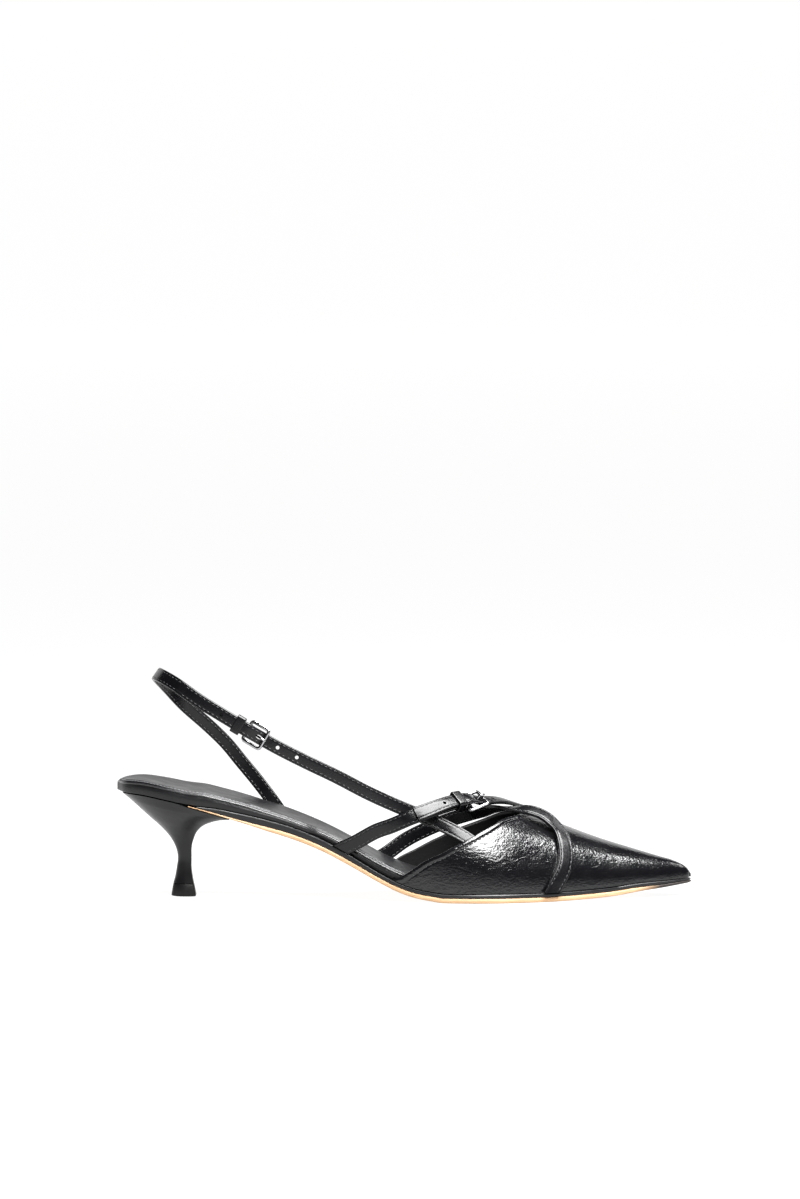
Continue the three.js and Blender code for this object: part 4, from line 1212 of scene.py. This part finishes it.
def strap_object(name, rings, material):
    rings = trimmed(rings)
    spread = np.linalg.norm(np.diff(rings, axis=0), axis=2).max(1)
    keep = np.concatenate([[True], spread > 1e-6])
    return tube_object(name, rings[keep], material)


def strap_stitch_paths(stations, width, start=2.0, end=2.0):
    """Two rows of stitches on each face of a strap."""
    p, b, n, thin = strap_frames(stations)
    standing = p[:, 2] - under_footbed(p[:, 0]) > 1.0
    run = run_along(p)
    keep = standing & (run > start) & (run < run[-1] - end)
    p, b, n, thin = p[keep], b[keep], n[keep], thin[keep]
    paths = []
    for side in (-1, 1):
        across = b * side * (width / 2 - STRAP_STITCH_INSET)
        for face in (1, -1):
            lift = n * (STRAP_THICKNESS / 2 - 0.08) * face * thin[:, None]
            paths.append((p + across + lift, n * face))
    return paths


def box_cutter(at, centre, size):
    signs = np.array([(a, b, n) for a in (-1, 1) for b in (-1, 1) for n in (-1, 1)])
    corners = placed(at, *(np.array(centre) + signs * np.array(size) / 2).T)
    faces = [[0, 1, 3, 2], [4, 6, 7, 5], [0, 4, 5, 1], [2, 3, 7, 6], [0, 2, 6, 4], [1, 5, 7, 3]]
    return build_object("cutter", corners, faces, [])


def hole_cutter(at, a, stretch=1.0):
    turn = full_turn(32)
    c, s = np.cos(turn) * HOLE_DIAMETER / 2, np.sin(turn) * HOLE_DIAMETER / 2
    rings = [placed(at, a + c * stretch, s, depth) for depth in (-4, 4)]
    return tube_object("cutter", rings, None)


def hole_cutters(line, at_length, first, last):
    cutters = [hole_cutter(line.frame(at_length), HOLE_PLACE, 1.9)]
    for i in range(first, last + 1):
        if i != 0:
            cutters.append(hole_cutter(line.frame(at_length + HOLE_PLACE + i * HOLE_PITCH), 0))
    return cutters


def bar_section(radius, sides=16, square=0.6):
    """A bar's section: between a circle and a square with round corners."""
    turn = full_turn(sides)
    c, s = np.cos(turn), np.sin(turn)
    reach = radius * mix(1, 1 / np.maximum(np.abs(c), np.abs(s)), square * 0.35)
    return c * reach, s * reach


def rounded_loop(half_a, half_b, corner, steps):
    """A rectangle's outline with round corners."""
    path = []
    for a, b, start in ((1, 1, 0), (-1, 1, 1), (-1, -1, 2), (1, -1, 3)):
        for i in range(steps + 1):
            turn = math.pi / 2 * (start + i / steps)
            path.append((
                a * (half_a - corner) + corner * math.cos(turn),
                b * (half_b - corner) + corner * math.sin(turn),
            ))
    return np.array(path)


def loop_tangent(places):
    return unit(np.roll(places, -1, 0) - np.roll(places, 1, 0))


def make_buckle(name, at, width, material, node):
    half = width / 2 + BUCKLE_MARGIN - BAR_RADIUS
    path = rounded_loop(BAR_REACH, half, BUCKLE_CORNER, 8)
    level = mix(-REAR_BAR_DROP, FRONT_BAR_LIFT, (path[:, 0] / BAR_REACH + 1) / 2)
    places = placed(at, path[:, 0], path[:, 1], level)
    upright = unit(at["n"] * BAR_REACH * 2 - at["t"] * (REAR_BAR_DROP + FRONT_BAR_LIFT))
    upright = np.broadcast_to(upright, places.shape)
    outward = unit(np.cross(loop_tangent(places), upright))
    rings = swept(places, outward, upright, *bar_section(BAR_RADIUS))
    fit(tube_object(name, rings, material, closed=True, crease=60), "buckle_metal", node)


def make_prong(name, at, material, node):
    hook = BAR_RADIUS + GAP + PRONG_RADIUS
    over = FRONT_BAR_LIFT + BAR_RADIUS + GAP + PRONG_RADIUS
    path = []
    for i in range(8):
        turn = math.radians(mix(270, 60, i / 7))
        path.append((-BAR_REACH + hook * math.cos(turn), -REAR_BAR_DROP + hook * math.sin(turn)))
    path += [
        (-0.4, -0.95), (1.0, 0.3), (1.9, 1.6), (2.7, over - 0.35), (BAR_REACH - 0.6, over),
        (BAR_REACH + 0.9, over - 0.1),
    ]
    places = spline(path)(np.linspace(0, 1, 60))
    tangent = unit(np.gradient(places, axis=0))
    up = np.stack([-tangent[:, 1], tangent[:, 0]], 1)
    radius = np.full(len(places), PRONG_RADIUS)
    radius[-4:] *= [0.95, 0.85, 0.65, 0.3]
    radius[:2] *= [0.6, 0.9]
    turn = full_turn(14)
    c, s = radius[:, None] * np.cos(turn), radius[:, None] * np.sin(turn)
    rings = placed(at, places[:, :1] + up[:, :1] * c, s, places[:, 1:] + up[:, 1:] * c)
    fit(tube_object(name, rings, material, crease=70), "buckle_metal", node)


def make_keeper(name, at, width, material, node):
    """A leather loop round both layers of the strap, with round corners and edges."""
    across = width / 2 + KEEPER_PLAY_ACROSS + KEEPER_WALL / 2
    rise = (STACK + STRAP_THICKNESS + KEEPER_WALL) / 2 + KEEPER_PLAY_UP
    path = rounded_loop(across, rise, KEEPER_CORNER, 6) + [0, STACK / 2]
    tangent = loop_tangent(path)
    outward = np.stack([tangent[:, 1], -tangent[:, 0]], 1)
    turn = full_turn(24)
    c, s = np.cos(turn), np.sin(turn)
    along_strap = KEEPER_LENGTH / 2 * np.sign(c) * np.abs(c) ** 0.25
    out = KEEPER_WALL / 2 * np.sign(s) * np.abs(s) ** 0.5
    b = path[:, :1] + outward[:, :1] * out
    n = path[:, 1:] + outward[:, 1:] * out
    rings = placed(at, along_strap, b, n)
    fit(tube_object(name, rings, material, closed=True, crease=60), "strap_leather", node)


def make_buckled_strap(name, line, tip, at_length, end, width, holes, materials):
    """A strap with its buckle: the two lengths of leather, the metal and the keeper."""
    leather, metal, thread = materials
    at = line.frame(at_length)
    holder = chape(line, 0, at_length)
    slot_size = [SLOT_LENGTH, 2 * PRONG_RADIUS + SLOT_PLAY, 4 * REAR_BAR_DROP]
    piece = strap_object(f"{name}_holder", strap_rings(holder, width), leather)
    carve(piece, [box_cutter(at, [-BAR_REACH, 0, -REAR_BAR_DROP], slot_size)])
    fit(piece, "strap_leather", f"{name}_strap")
    tongue = billet(line, tip, at_length, end)
    piece = strap_object(f"{name}_tongue", strap_rings(tongue, width), leather)
    carve(piece, hole_cutters(line, at_length, *holes))
    fit(piece, "strap_leather", f"{name}_billet")
    paths = strap_stitch_paths(holder, width, 2, BAR_REACH + 6)
    paths += strap_stitch_paths(tongue, width, 1.5, 1)
    make_stitches(f"{name}_stitches", paths, "strap_leather", thread)
    make_buckle(f"{name}_buckle_frame", at, width, metal, f"{name}_buckle")
    make_prong(f"{name}_buckle_pin", at, metal, f"{name}_prong")
    keeper_at = line.frame(at_length - KEEPER_SETBACK)
    make_keeper(f"{name}_loop", keeper_at, width, leather, f"{name}_keeper")


def make_sling(materials):
    line = StrapLine(1, SLING_FOOT, SLING_ROWS, SLING_TOP, SLING_TUCK, TUCK_LIFT)
    back = line.reach(along(SLING_MARKS["back"]) + 0.5, line.length * 0.3)
    tip = line.reach(along(SLING_MARKS["tip"]), back + 2 * SLING_WIDTH)
    at_length = line.reach(along(SLING_MARKS["buckle"]), tip)
    make_buckled_strap(
        "sling", line, tip, at_length, line.length, SLING_WIDTH, (-2, 2), materials,
    )


def make_instep_strap(materials):
    line = StrapLine(-1, INSTEP_FOOT, INSTEP_ROWS, THROAT_HEIGHT, INSTEP_LAID, LAID_LIFT)
    tip = line.reach(along(INSTEP_MARKS["tip"]), 0)
    at_length = line.reach(along(INSTEP_MARKS["buckle"]), tip)
    make_buckled_strap(
        "instep", line, tip, at_length, line.length + FOOT_RUN, INSTEP_WIDTH, (-2, 1), materials,
    )


def make_cross_strap(materials):
    leather, _, thread = materials
    line = StrapLine(1, CROSS_FOOT, CROSS_ROWS, THROAT_HEIGHT, CROSS_LAID, LAID_LIFT)
    stations = line_stations(line, 0, line.length + FOOT_RUN, 0)
    piece = strap_object("cross_band", strap_rings(stations, INSTEP_WIDTH), leather)
    fit(piece, "strap_leather", "cross_strap")
    paths = strap_stitch_paths(stations, INSTEP_WIDTH)
    make_stitches("cross_stitches", paths, "strap_leather", thread)


def make_sweep(material):
    """A white floor that curves up into the wall behind the shoe."""
    width, front, back, height, bend = 7000, -7000, 6500, 4000, 600
    profile = [(front, 0.0), (back - bend, 0.0)]
    for i in range(1, 16):
        turn = math.pi / 2 * i / 16
        profile.append((back - bend + bend * math.sin(turn), bend * (1 - math.cos(turn))))
    profile += [(back, bend), (back, height)]
    points = np.array([[(x, y, z) for x in (-width, width)] for y, z in profile], float)
    faces = grid_faces(len(profile), 2, wrap_columns=False)
    sweep = build_object("sweep", points, faces, [material])


make_camera()
make_world()
make_lights()
make_sweep(white_paper())
thread = waxed_thread("waxed_thread", 0.03)
straps = (strap_leather(), silver_metal(), thread)
make_outsole(tan_leather())
make_rand(welt_leather())
# The footbed's thread is black like the other stitches; its lighter grey shade is a painted
# highlight for the light glinting off the stitches.
make_footbed(footbed_leather(), waxed_thread("thread_painted_glint", 0.18))
make_heel(heel_lacquer())
make_heel_tip(tip_rubber())
make_vamp(crinkle_leather(), lining_leather(), thread)
make_sling(straps)
make_instep_strap(straps)
make_cross_strap(straps)
